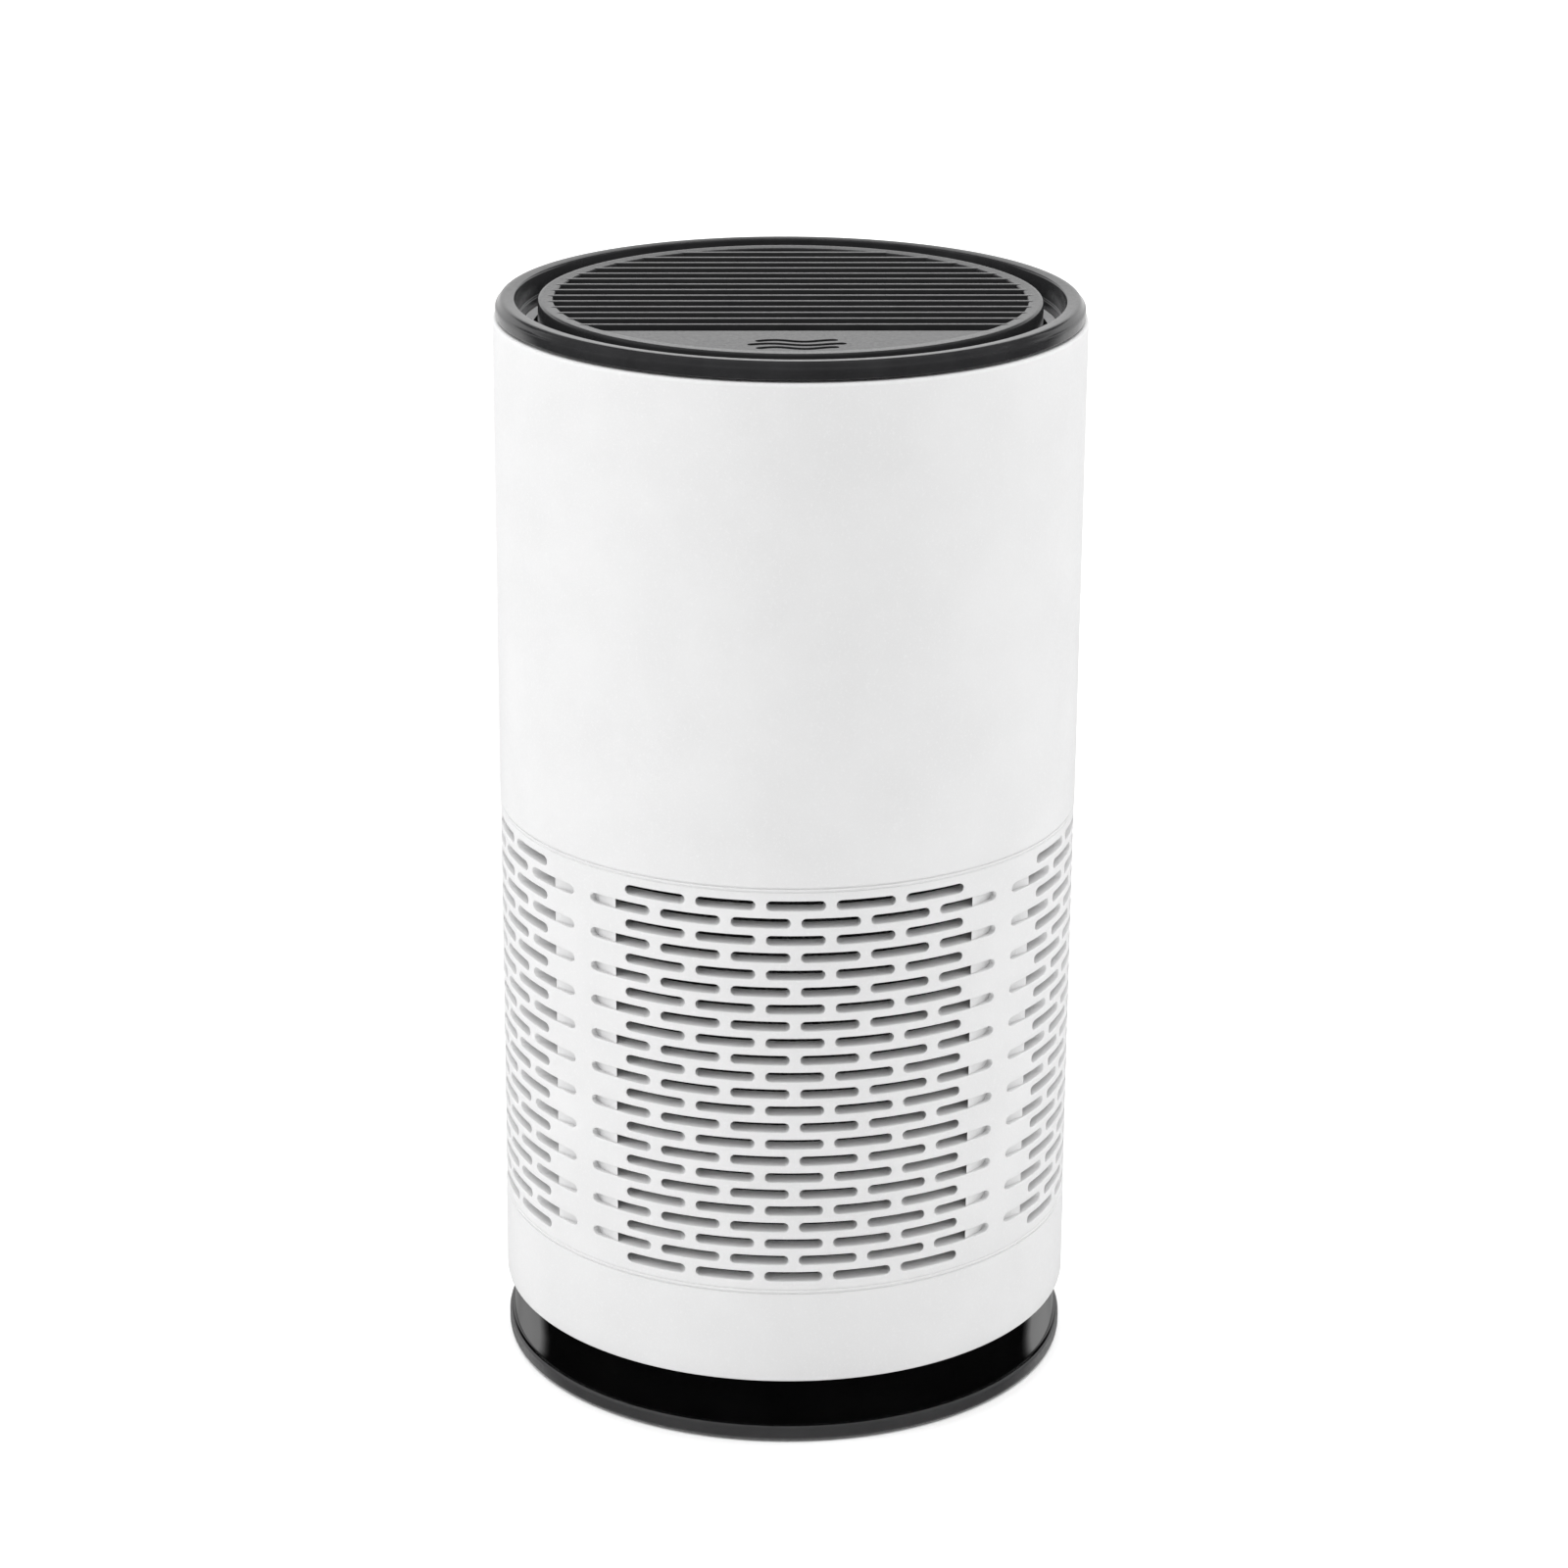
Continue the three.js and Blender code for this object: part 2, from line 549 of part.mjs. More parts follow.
function motorStator() {
  const coils = QUARTERS.map((a, i) => {
    const coil = part(`stator_coil_${i + 1}`, statorCoil(), COPPER, [0, 0, STATOR_Z0 + STATOR_H / 2]);
    coil.rotation.z = THREE.MathUtils.degToRad(a);
    return coil;
  });
  const boardZ = MOTOR_BASE_Z1 + GAP;
  return [
    part('motor_board', tube(POST_R + GAP, 10.4, boardZ, boardZ + 1), BOARD_GREEN),
    part('stator_core', statorCore(), STEEL),
    coils,
    part('bearing_sleeve', tube(BEARING_IN, POST_IN - GAP, boardZ, POST_Z1 - GAP), BRONZE),
  ];
}

// A cambered blade, wrapped round the hub and flatter towards its tip.
function blade() {
  const half = BLADE_H / 2;
  const section = new THREE.Shape();
  section.moveTo(0, -half);
  section.quadraticCurveTo(1.3, 0, 0, half);
  section.lineTo(-BLADE_THICK * 0.6, half);
  section.quadraticCurveTo(1.3 - BLADE_THICK, 0, -BLADE_THICK, -half);
  const root = HUB_R - 0.6;
  const geometry = new THREE.ExtrudeGeometry(section, {
    depth: BLADE_TIP - root,
    steps: 3,
    bevelEnabled: false,
    curveSegments: 3,
  });
  const point = geometry.attributes.position;
  for (let i = 0; i < point.count; i += 1) {
    const r = root + point.getZ(i);
    const pitch = THREE.MathUtils.degToRad(34 + 20 * (r - root) / (BLADE_TIP - root));
    const along = point.getX(i) * Math.cos(pitch) - point.getY(i) * Math.sin(pitch);
    const up = point.getX(i) * Math.sin(pitch) + point.getY(i) * Math.cos(pitch);
    point.setXYZ(i, r * Math.cos(along / r), r * Math.sin(along / r), up);
  }
  return toSolid(geometry);
}

function impeller() {
  const hub = turned([
    [0, HUB_Z1 - 0.6], [SHAFT_R + GAP, HUB_Z1 - 0.6], [SHAFT_R + GAP, HUB_Z1 - 2.2],
    [HUB_R - 1, HUB_Z1 - 2.2], [HUB_R - 1, HUB_Z0], [HUB_R, HUB_Z0], [HUB_R, HUB_Z1 - 1],
    [HUB_R - 1, HUB_Z1], [0, HUB_Z1],
  ]);
  const blades = Array.from({ length: BLADES }, (_, i) => (
    blade().rotate([0, 0, i * 360 / BLADES]).translate([0, 0, (HUB_Z0 + HUB_Z1) / 2 - 0.3])));
  return join([hub, ...blades]);
}

function fan() {
  const yokeTop = HUB_Z1 - 2.2 - GAP;
  const yoke = turned([
    [SHAFT_R + GAP, yokeTop - 0.7], [9.9, yokeTop - 0.7], [9.9, HUB_Z0 + 0.3],
    [HUB_R - 1 - GAP, HUB_Z0 + 0.3], [HUB_R - 1 - GAP, yokeTop], [SHAFT_R + GAP, yokeTop],
  ]);
  return assembly(
    part('impeller', impeller(), BLACK_SATIN),
    part('rotor_yoke', yoke, STEEL),
    part('magnet_ring', tube(8.8, 9.6, STATOR_Z0 - 0.4, STATOR_Z0 + STATOR_H + 1.4), MAGNET),
    part('motor_shaft', rod(SHAFT_R, MOTOR_BASE_Z1 + 0.6, HUB_Z1 - 0.9, [0, 0], 16), STEEL),
  );
}

// ---------------------------------------------------------------- electronics

function controlBoard() {
  const r = 26;
  const edge = Math.acos((-PANEL_EDGE + 0.7) / r);
  const outline = new THREE.Shape();
  outline.absarc(0, 0, r, -Math.PI / 2 - edge, -Math.PI / 2 + edge, false);
  return slab(outline, BOARD_Z0, BOARD_Z0 + BOARD_THICK, 10);
}

function tactSwitch() {
  const [x, y] = SWITCH_AT;
  const z0 = BOARD_Z0 + BOARD_THICK + GAP;
  const body = block([x - 3, x + 3], [y - 3, y + 3], [z0, z0 + 3.4]);
  return body.add(rod(1.7, z0 + 3, SWITCH_TOP, SWITCH_AT));
}

// A needle in its holder, with its tip in the outgoing air.
function ioniserNeedle() {
  const holder = rod(1.6, 0, 2.4);
  const spike = new THREE.CylinderGeometry(0.1, 0.3, 4.6, 10).rotateX(Math.PI / 2);
  return holder.add(toSolid(spike.translate(0, 0, 4.4)));
}

function usbShell() {
  const outside = slab(roundedRect(USB_W, USB_H, 1.3), 0, USB_Y1 - USB_Y0, 4);
  const mouth = slab(roundedRect(USB_MOUTH_W, USB_MOUTH_H, 1.1), -1, 6.1, 4);
  return outside.subtract(mouth).rotate([90, 0, 0]).translate([0, USB_Y1, USB_Z]);
}

function electronics() {
  const usbFloor = USB_Z - USB_H / 2 - GAP;
  const ledZ = BOARD_Z0 + BOARD_THICK + GAP;
  const leds = [-3, 3].map((x, i) => part(
    `status_led_${i + 1}`, block([-1.5, 1.5], [-0.7, 0.7], [0, 0.9]), LED_WHITE, [x, ICON_Y, ledZ]));
  const highVoltage = block([-31, -25.6], [-6.5, 6.5], [98.2, 106]);
  return [
    part('control_board', controlBoard(), BOARD_GREEN),
    part('tact_switch', tactSwitch(), BLACK_SATIN),
    leds,
    part('ioniser_module', highVoltage, BLACK_SATIN),
    part('ioniser_needle', ioniserNeedle(), STEEL, [-26.6, 0, TOP_DECK_Z1 + GAP]),
    part('usb_board', block([-7.5, 7.5], [24.6, 31], [usbFloor - 1, usbFloor]), BOARD_GREEN),
    part('usb_socket', usbShell(), STEEL),
    part('usb_tongue', block([-3.35, 3.35], [28.8, 33.4], [USB_Z - 0.35, USB_Z + 0.35]), BLACK_SATIN),
  ];
}

// ---------------------------------------------------------------- louvred disc

function outletDisc() {
  const rim = turned([
    [DISC_RIM_IN, DISC_SKIRT_Z0], [DISC_R, DISC_SKIRT_Z0], [DISC_R, DISC_TOP - 0.3],
    [DISC_R - 0.3, DISC_TOP], [DISC_RIM_IN, DISC_TOP],
  ], OUTER_FACETS);
  const edge = Math.acos(-PANEL_EDGE / (DISC_RIM_IN + 0.3));
  const segment = new THREE.Shape();
  segment.absarc(0, 0, DISC_RIM_IN + 0.3, -Math.PI / 2 - edge, -Math.PI / 2 + edge, false);
  const panel = slab(segment, DISC_TOP - PANEL_THICK, DISC_TOP, 12);
  const bars = Array.from({ length: BAR_COUNT }, (_, i) => {
    const y = PANEL_EDGE + (i + 1) * BAR_PITCH - BAR_W / 2;
    const furthest = Math.max(Math.abs(y), Math.abs(y + BAR_W));
    const reach = Math.sqrt((DISC_RIM_IN + 0.9) ** 2 - furthest ** 2);
    return block([-reach, reach], [y, y + BAR_W], [BAR_Z0, BAR_Z1]);
  });
  const ribs = [-12, 12].map((x) => (
    block([x - 0.6, x + 0.6], [PANEL_EDGE - 1, 25.2], [BAR_Z0 - 1.4, BAR_Z0 + 0.4])));
  const hangers = [-12, 12].map((x) => (
    block([x - 0.6, x + 0.6], [PANEL_EDGE - 1, PANEL_EDGE], [BAR_Z0 - 1.4, DISC_TOP - 1])));
  const seats = GUIDE_ANGLES.map((a) => (
    rod(SPRING_SEAT_R, SPRING_SEAT_Z0, DISC_SKIRT_Z0 + 0.4, polar(POST_CIRCLE, a))));
  const guides = GUIDE_ANGLES.map((a) => (
    rod(GUIDE_R, TOP_DECK_Z0 - 1.8, SPRING_SEAT_Z0 + 0.5, polar(POST_CIRCLE, a))));
  const hooks = THIRDS.map((a) => (
    sector(DISC_R - 0.9, SHELF_R + 0.4, a - 6, a + 6, DISC_SKIRT_Z0 + 0.4, SHELF_Z0 - GAP, 2)));
  const plunger = rod(GUIDE_R, SWITCH_TOP + KEY_TRAVEL + 0.05, DISC_TOP - 1, SWITCH_AT);
  const window = block(
    [-ICON_W / 2, ICON_W / 2], [ICON_Y - ICON_D / 2, ICON_Y + ICON_D / 2], [DISC_TOP - 3, DISC_TOP + 1]);
  const solids = [rim, panel, ...bars, ...ribs, ...hangers, ...seats, ...guides, ...hooks, plunger];
  return cut(join(solids), [window]);
}

// A clear tile in the panel's window, with a flange under the panel.
function iconLens() {
  const tile = block(
    [-ICON_W / 2 + GAP, ICON_W / 2 - GAP],
    [ICON_Y - ICON_D / 2 + GAP, ICON_Y + ICON_D / 2 - GAP],
    [DISC_TOP - PANEL_THICK - GAP - 0.5, DISC_TOP],
  );
  const flange = block(
    [-ICON_W / 2 - 0.6, ICON_W / 2 + 0.6], [ICON_Y - 2.3, ICON_Y + ICON_D / 2 + 0.6],
    [DISC_TOP - PANEL_THICK - GAP - 1, DISC_TOP - PANEL_THICK - GAP],
  );
  return tile.add(flange);
}

class Helix extends THREE.Curve {
  constructor(radius, height, turns) {
    super();
    Object.assign(this, { radius, height, turns });
  }

  getPoint(t, target = new THREE.Vector3()) {
    const a = t * this.turns * 2 * Math.PI;
    return target.set(this.radius * Math.cos(a), this.radius * Math.sin(a), t * this.height);
  }
}

function returnSpring() {
  const seat = TOP_DECK_Z1 + GAP;
  const height = SPRING_SEAT_Z0 - GAP - seat - 2 * SPRING_WIRE;
  const wire = new THREE.Shape(Array.from({ length: 4 }, (_, i) => (
    new THREE.Vector2(...polar(SPRING_WIRE, i * 90)))));
  const geometry = new THREE.ExtrudeGeometry(wire, {
    steps: SPRING_TURNS * 8,
    extrudePath: new Helix(SPRING_R, height, SPRING_TURNS),
    bevelEnabled: false,
  });
  return toSolid(geometry.translate(0, 0, SPRING_WIRE));
}

function pushTop() {
  const springs = GUIDE_ANGLES.map((a, i) => part(
    `return_spring_${i + 1}`, returnSpring(), STEEL, [...polar(POST_CIRCLE, a), TOP_DECK_Z1 + GAP]));
  return assembly(
    part('outlet_disc', outletDisc(), BLACK_SATIN),
    part('icon_lens', iconLens(), LENS),
    springs,
  );
}

// ---------------------------------------------------------------- whole purifier

const housing = assembly(
  part('outer_shell', outerShell(), WHITE_ABS),
  part('top_ring', topRing(), BLACK_SATIN),
  airPath().flat(),
  motorStator().flat(),
  electronics().flat(),
);

const purifier = assembly(base(), filter(), housing, fan(), pushTop());

export default purifier;
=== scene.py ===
import json
from math import asin, atan2, cos, pi, radians, sin, sqrt, tau

import bpy
from mathutils import Matrix, Vector


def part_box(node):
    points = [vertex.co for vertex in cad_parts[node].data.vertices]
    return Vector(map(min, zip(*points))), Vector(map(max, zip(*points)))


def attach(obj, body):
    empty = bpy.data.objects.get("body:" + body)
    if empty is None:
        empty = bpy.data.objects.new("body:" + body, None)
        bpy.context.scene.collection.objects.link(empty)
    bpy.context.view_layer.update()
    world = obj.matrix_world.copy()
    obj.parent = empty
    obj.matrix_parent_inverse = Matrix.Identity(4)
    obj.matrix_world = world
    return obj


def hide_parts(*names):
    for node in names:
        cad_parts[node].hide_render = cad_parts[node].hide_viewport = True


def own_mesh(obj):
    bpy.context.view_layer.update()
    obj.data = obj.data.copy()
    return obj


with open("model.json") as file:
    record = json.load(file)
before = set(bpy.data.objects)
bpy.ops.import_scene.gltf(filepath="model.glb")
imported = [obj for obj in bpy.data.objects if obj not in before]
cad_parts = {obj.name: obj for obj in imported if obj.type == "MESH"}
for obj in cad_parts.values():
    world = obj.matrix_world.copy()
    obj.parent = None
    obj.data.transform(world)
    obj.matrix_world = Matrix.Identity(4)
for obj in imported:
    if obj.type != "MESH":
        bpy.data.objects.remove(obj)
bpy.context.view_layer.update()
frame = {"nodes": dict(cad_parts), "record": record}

MM = 0.001  # everything below is laid out in millimetres and scaled once
QUARTERS = (0, 90, 180, 270)
THIRDS = (30, 150, 270)


def span(node):
    """Lowest and highest corner of a CAD node at rest, in millimetres."""
    low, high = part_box(node)
    return Vector(low) / MM, Vector(high) / MM


def numbered(prefix, count):
    return [f"{prefix}_{i}" for i in range(1, count + 1)]


# ---------------- sizes taken from the frame

SHELL_LO, SHELL_HI = span("outer_shell")
RING_LO, RING_HI = span("top_ring")
FOOT_LO, FOOT_HI = span("base_foot")
TRAY_TOP = span("filter_tray")[1].z
DISC_TOP = span("outlet_disc")[1].z
DISC_R = 29.65

SHELL_R = SHELL_HI.x
RING_R = RING_HI.x
FOOT_R = FOOT_HI.x
GAP = 0.3

# ---------------- mesh tools


def placed(name, data):
    """A new object that is in the scene."""
    obj = bpy.data.objects.new(name, data)
    bpy.context.scene.collection.objects.link(obj)
    return obj


def on_circle(r, degrees):
    a = radians(degrees)
    return Vector((r * cos(a), r * sin(a), 0))


def quads_between(low, high, count):
    """Faces from the ring of points that starts at low to the one that starts at high."""
    nexts = [*range(1, count), 0]
    return [[low + i, low + n, high + n, high + i] for i, n in enumerate(nexts)]


def make_object(name, verts, faces, sharp_angle=35):
    """A mesh object from points in millimetres, smooth except across sharp edges."""
    mesh = bpy.data.meshes.new(name)
    mesh.from_pydata([(x * MM, y * MM, z * MM) for x, y, z in verts], [], faces)
    mesh.validate()
    mesh.shade_smooth()
    mesh.set_sharp_from_angle(angle=radians(sharp_angle))
    return placed(name, mesh)


def rounded(corners, steps=5):
    """A closed outline from (a, b, fillet) corners, each fillet a smooth bend of that size."""
    outline = []
    count = len(corners)
    for i, (a, b, fillet) in enumerate(corners):
        here = Vector((a, b))
        if not fillet:
            outline.append((a, b))
            continue
        before = Vector(corners[i - 1][:2]) - here
        after = Vector(corners[(i + 1) % count][:2]) - here
        start = here + before.normalized() * min(fillet, before.length * 0.5)
        end = here + after.normalized() * min(fillet, after.length * 0.5)
        for k in range(steps + 1):
            t = k / steps
            point = start * (1 - t) ** 2 + here * 2 * t * (1 - t) + end * t * t
            outline.append(tuple(point))
    return outline


def turned_mesh(outline, segments):
    """Points and faces of a solid of revolution from an anticlockwise (radius, height) outline."""
    rings, verts, faces = [], [], []
    for r, z in outline:
        if r < 1e-6:
            rings.append([len(verts)] * segments)
            verts.append((0, 0, z))
            continue
        rings.append(list(range(len(verts), len(verts) + segments)))
        angles = (tau * k / segments for k in range(segments))
        verts.extend((r * cos(a), r * sin(a), z) for a in angles)
    for i, low in enumerate(rings):
        high = rings[(i + 1) % len(rings)]
        if low[0] == low[-1] and high[0] == high[-1]:
            continue
        for k in range(segments):
            n = (k + 1) % segments
            corners = [low[k], low[n], high[n], high[k]]
            faces.append([c for j, c in enumerate(corners) if c not in corners[:j]])
    return verts, faces


def turned(name, corners, segments):
    return make_object(name, *turned_mesh(rounded(corners), segments))


def ring(name, r_in, r_out, z0, z1, edge=0.2, segments=128):
    corners = [(r_in, z0, edge), (r_out, z0, edge), (r_out, z1, edge), (r_in, z1, edge)]
    return turned(name, corners, segments)


def prism(name, outline, levels):
    """A closed solid from an anticlockwise outline; levels are (height, offset outwards)."""
    count = len(outline)
    points = [Vector(p) for p in outline]
    normals = []
    for i, point in enumerate(points):
        along = points[(i + 1) % count] - points[i - 1]
        normals.append(Vector((along.y, -along.x)).normalized())
    verts, faces = [], []
    for z, offset in levels:
        for point, normal in zip(points, normals):
            moved = point + normal * offset
            verts.append((moved.x, moved.y, z))
    for level in range(len(levels) - 1):
        faces += quads_between(level * count, (level + 1) * count, count)
    faces.append(list(range(count))[::-1])
    faces.append([(len(levels) - 1) * count + i for i in range(count)])
    return make_object(name, verts, faces)


def slab(name, x, y, z, edge=0.15):
    """A box with softened edges, from (low, high) pairs."""
    outline = [(x[0], y[0]), (x[1], y[0]), (x[1], y[1]), (x[0], y[1])]
    return prism(name, outline, [(z[0], -edge), (z[0] + edge, 0), (z[1] - edge, 0), (z[1], -edge)])


def merge(name, pieces):
    """One object from several; each stays a closed shell of its own."""
    bpy.context.view_layer.update()
    verts, faces, slots, materials = [], [], [], []
    for piece in pieces:
        base = len(verts)
        verts.extend(tuple(piece.matrix_world @ v.co / MM) for v in piece.data.vertices)
        materials += [m for m in piece.data.materials if m not in materials]
        local = [materials.index(m) for m in piece.data.materials]
        for face in piece.data.polygons:
            faces.append([base + v for v in face.vertices])
            slots.append(local[face.material_index] if local else 0)
        bpy.data.objects.remove(piece)
    obj = make_object(name, verts, faces)
    for material in materials:
        obj.data.materials.append(material)
    obj.data.polygons.foreach_set("material_index", slots)
    return obj


def cut(obj, cutters):
    """Takes the cutters out of obj for good."""
    for cutter in cutters:
        modifier = obj.modifiers.new("cut", "BOOLEAN")
        modifier.operation = "DIFFERENCE"
        modifier.solver = "EXACT"
        modifier.object = cutter
    bpy.context.view_layer.update()
    evaluated = obj.evaluated_get(bpy.context.evaluated_depsgraph_get())
    mesh = bpy.data.meshes.new_from_object(evaluated)
    obj.modifiers.clear()
    obj.data = mesh
    mesh.set_sharp_from_angle(angle=radians(35))
    for cutter in cutters:
        bpy.data.objects.remove(cutter)
    return obj


# ---------------- materials


class Look:
    """A procedural material on one Principled shader, built up one effect at a time."""

    def __init__(self, name, color, roughness, metallic=0.0, **sockets):
        self.name = name
        self.material = bpy.data.materials.new(name)
        self.material.use_nodes = True
        self.tree = self.material.node_tree
        self.shader = self.tree.nodes["Principled BSDF"]
        self.color = color
        self.shader.inputs["Base Color"].default_value = (*color, 1)
        self.shader.inputs["Roughness"].default_value = roughness
        self.shader.inputs["Metallic"].default_value = metallic
        for socket, value in sockets.items():
            self.shader.inputs[socket.replace("_", " ")].default_value = value
        self.coordinates = self.node("ShaderNodeTexCoord").outputs["Object"]

    def node(self, kind, **settings):
        node = self.tree.nodes.new(kind)
        for key, value in settings.items():
            setattr(node, key, value)
        return node

    def link(self, source, target):
        self.tree.links.new(source, target)

    def noise(self, size_mm, detail=4, stretch=(1, 1, 1)):
        """Noise whose grains are about size_mm across."""
        mapping = self.node("ShaderNodeMapping")
        mapping.inputs["Scale"].default_value = stretch
        self.link(self.coordinates, mapping.inputs["Vector"])
        noise = self.node("ShaderNodeTexNoise")
        noise.inputs["Scale"].default_value = 1 / (size_mm * MM)
        noise.inputs["Detail"].default_value = detail
        self.link(mapping.outputs["Vector"], noise.inputs["Vector"])
        return noise.outputs["Fac"]

    def ranged(self, source, low, high, start=0.3, end=0.7):
        span_node = self.node("ShaderNodeMapRange")
        for socket, value in zip(("From Min", "From Max", "To Min", "To Max"), (start, end, low, high)):
            span_node.inputs[socket].default_value = value
        self.link(source, span_node.inputs["Value"])
        return span_node.outputs["Result"]

    def tint(self, source, other, start=0.3, end=0.7):
        """Moves the base colour towards another colour where the source is high."""
        mix = self.node("ShaderNodeMix", data_type="RGBA")
        mix.inputs[6].default_value = (*self.color, 1)
        mix.inputs[7].default_value = (*other, 1)
        self.link(self.ranged(source, 0, 1, start, end), mix.inputs[0])
        base = self.shader.inputs["Base Color"]
        if base.is_linked:
            self.link(base.links[0].from_socket, mix.inputs[6])
        self.link(mix.outputs[2], base)
        return self

    def gloss(self, source, low, high, start=0.3, end=0.7):
        self.link(self.ranged(source, low, high, start, end), self.shader.inputs["Roughness"])
        return self

    def bump(self, source, depth_mm):
        bump = self.node("ShaderNodeBump")
        bump.inputs["Strength"].default_value = 1
        bump.inputs["Distance"].default_value = depth_mm * MM
        self.link(source, bump.inputs["Height"])
        normal = self.shader.inputs["Normal"]
        if normal.is_linked:
            self.link(normal.links[0].from_socket, bump.inputs["Normal"])
        self.link(bump.outputs["Normal"], normal)
        return self

    def cells(self, size_mm, feature="DISTANCE_TO_EDGE"):
        voronoi = self.node("ShaderNodeTexVoronoi", feature=feature)
        voronoi.inputs["Scale"].default_value = 1 / (size_mm * MM)
        self.link(self.coordinates, voronoi.inputs["Vector"])
        return voronoi.outputs["Distance"]

    def bands(self, period_mm):
        wave = self.node("ShaderNodeTexWave", wave_type="BANDS", bands_direction="Z")
        wave.inputs["Scale"].default_value = 0.314 / (period_mm * MM)
        self.link(self.coordinates, wave.inputs["Vector"])
        return wave.outputs["Fac"]


def white_abs():
    look = Look("white_abs", (0.57, 0.57, 0.572), 0.5, IOR=1.46)
    look.tint(look.noise(9, 2), (0.55, 0.55, 0.552))
    look.tint(look.noise(0.25, 2), (0.59, 0.59, 0.592), 0.55, 0.75)
    look.gloss(look.noise(0.6, 3), 0.46, 0.58)
    look.bump(look.noise(0.16, 3), 0.018)
    return look.bump(look.noise(0.5, 2), 0.012)


def black_satin():
    look = Look("black_satin_abs", (0.019, 0.0192, 0.02), 0.22, IOR=1.5)
    look.tint(look.noise(4, 3), (0.024, 0.0242, 0.025))
    look.gloss(look.noise(0.4, 4), 0.18, 0.25)
    look.bump(look.noise(0.12, 2), 0.004)
    return look.bump(look.noise(1.1, 2), 0.003)


def black_semi_gloss():
    look = Look("black_semi_gloss_abs", (0.016, 0.016, 0.0168), 0.16, IOR=1.5)
    look.tint(look.noise(4, 3), (0.021, 0.021, 0.022))
    look.gloss(look.noise(0.8, 4), 0.12, 0.2)
    look.bump(look.noise(0.3, 2), 0.002)
    return look.bump(look.noise(2.2, 2), 0.004)


def black_gloss():
    look = Look("black_gloss_abs", (0.0012, 0.0012, 0.0013), 0.06, IOR=1.42)
    look.tint(look.noise(6, 3), (0.002, 0.002, 0.0021))
    look.gloss(look.noise(1.2, 4), 0.04, 0.085)
    return look.bump(look.noise(3, 2), 0.003)


def moulded(name, color, other, roughness=0.45):
    look = Look(name, color, roughness)
    look.tint(look.noise(3, 3), other)
    look.gloss(look.noise(0.5, 3), roughness - 0.06, roughness + 0.08)
    return look.bump(look.noise(0.2, 3), 0.012)


def rubber():
    look = Look("rubber", (0.022, 0.022, 0.023), 0.75)
    look.tint(look.noise(1.5, 4), (0.036, 0.036, 0.037))
    look.gloss(look.noise(0.4, 3), 0.65, 0.85)
    return look.bump(look.noise(0.15, 3), 0.03)


def carbon_foam():
    look = Look("carbon_foam", (0.006, 0.006, 0.0065), 0.9)
    look.tint(look.cells(0.9), (0.035, 0.035, 0.037), 0.0, 0.25)
    look.gloss(look.noise(0.8, 3), 0.75, 0.98)
    look.bump(look.cells(0.9), 0.5)
    return look.bump(look.noise(0.3, 3), 0.12)


def filter_paper():
    look = Look("filter_paper", (0.80, 0.79, 0.75), 0.85)
    look.tint(look.noise(0.35, 5), (0.88, 0.875, 0.85))
    look.gloss(look.noise(0.3, 3), 0.78, 0.95)
    return look.bump(look.noise(0.2, 5, (1, 1, 0.3)), 0.06)


def eva_foam():
    look = Look("eva_foam", (0.03, 0.03, 0.031), 0.85)
    look.tint(look.cells(0.35, "F1"), (0.05, 0.05, 0.052), 0.1, 0.5)
    look.gloss(look.noise(0.6, 3), 0.75, 0.92)
    return look.bump(look.cells(0.35, "F1"), 0.05)


def steel():
    look = Look("steel", (0.62, 0.625, 0.63), 0.28, 1.0)
    look.tint(look.noise(0.8, 4), (0.5, 0.505, 0.515))
    look.gloss(look.noise(0.3, 4, (1, 1, 5)), 0.2, 0.38)
    return look.bump(look.noise(0.15, 3, (1, 1, 6)), 0.006)


def copper():
    look = Look("copper_wire", (0.62, 0.25, 0.09), 0.3, 1.0)
    look.tint(look.noise(0.5, 3), (0.48, 0.16, 0.05))
    look.gloss(look.bands(0.22), 0.22, 0.42, 0, 1)
    return look.bump(look.bands(0.22), 0.08)


def bronze():
    look = Look("bronze", (0.5, 0.32, 0.13), 0.45, 1.0)
    look.tint(look.cells(0.12, "F1"), (0.34, 0.2, 0.08), 0.1, 0.5)
    look.gloss(look.noise(0.3, 3), 0.38, 0.55)
    return look.bump(look.cells(0.12, "F1"), 0.015)


def ferrite():
    look = Look("ferrite", (0.04, 0.04, 0.043), 0.6, 0.4)
    look.tint(look.noise(0.4, 5), (0.065, 0.064, 0.066))
    look.gloss(look.noise(0.3, 3), 0.5, 0.7)
    return look.bump(look.noise(0.15, 4), 0.02)


def circuit_board():
    look = Look("circuit_board", (0.006, 0.075, 0.03), 0.3)
    look.tint(look.cells(1.6), (0.012, 0.13, 0.055), 0.05, 0.06)
    look.gloss(look.noise(0.7, 3), 0.24, 0.4)
    return look.bump(look.cells(1.6), 0.02)


def clear_lens():
    look = Look("clear_lens", (0.004, 0.004, 0.005), 0.08, IOR=1.49)
    look.tint(look.noise(1.2, 2), (0.007, 0.007, 0.009))
    look.gloss(look.noise(0.5, 2), 0.05, 0.12)
    return look.bump(look.noise(2, 2), 0.003)


def led_resin():
    look = Look("led_resin", (0.85, 0.8, 0.45), 0.2)
    look.tint(look.cells(0.7, "F1"), (0.9, 0.88, 0.7), 0.2, 0.6)
    look.gloss(look.noise(0.4, 2), 0.12, 0.26)
    return look.bump(look.noise(0.3, 2), 0.01)


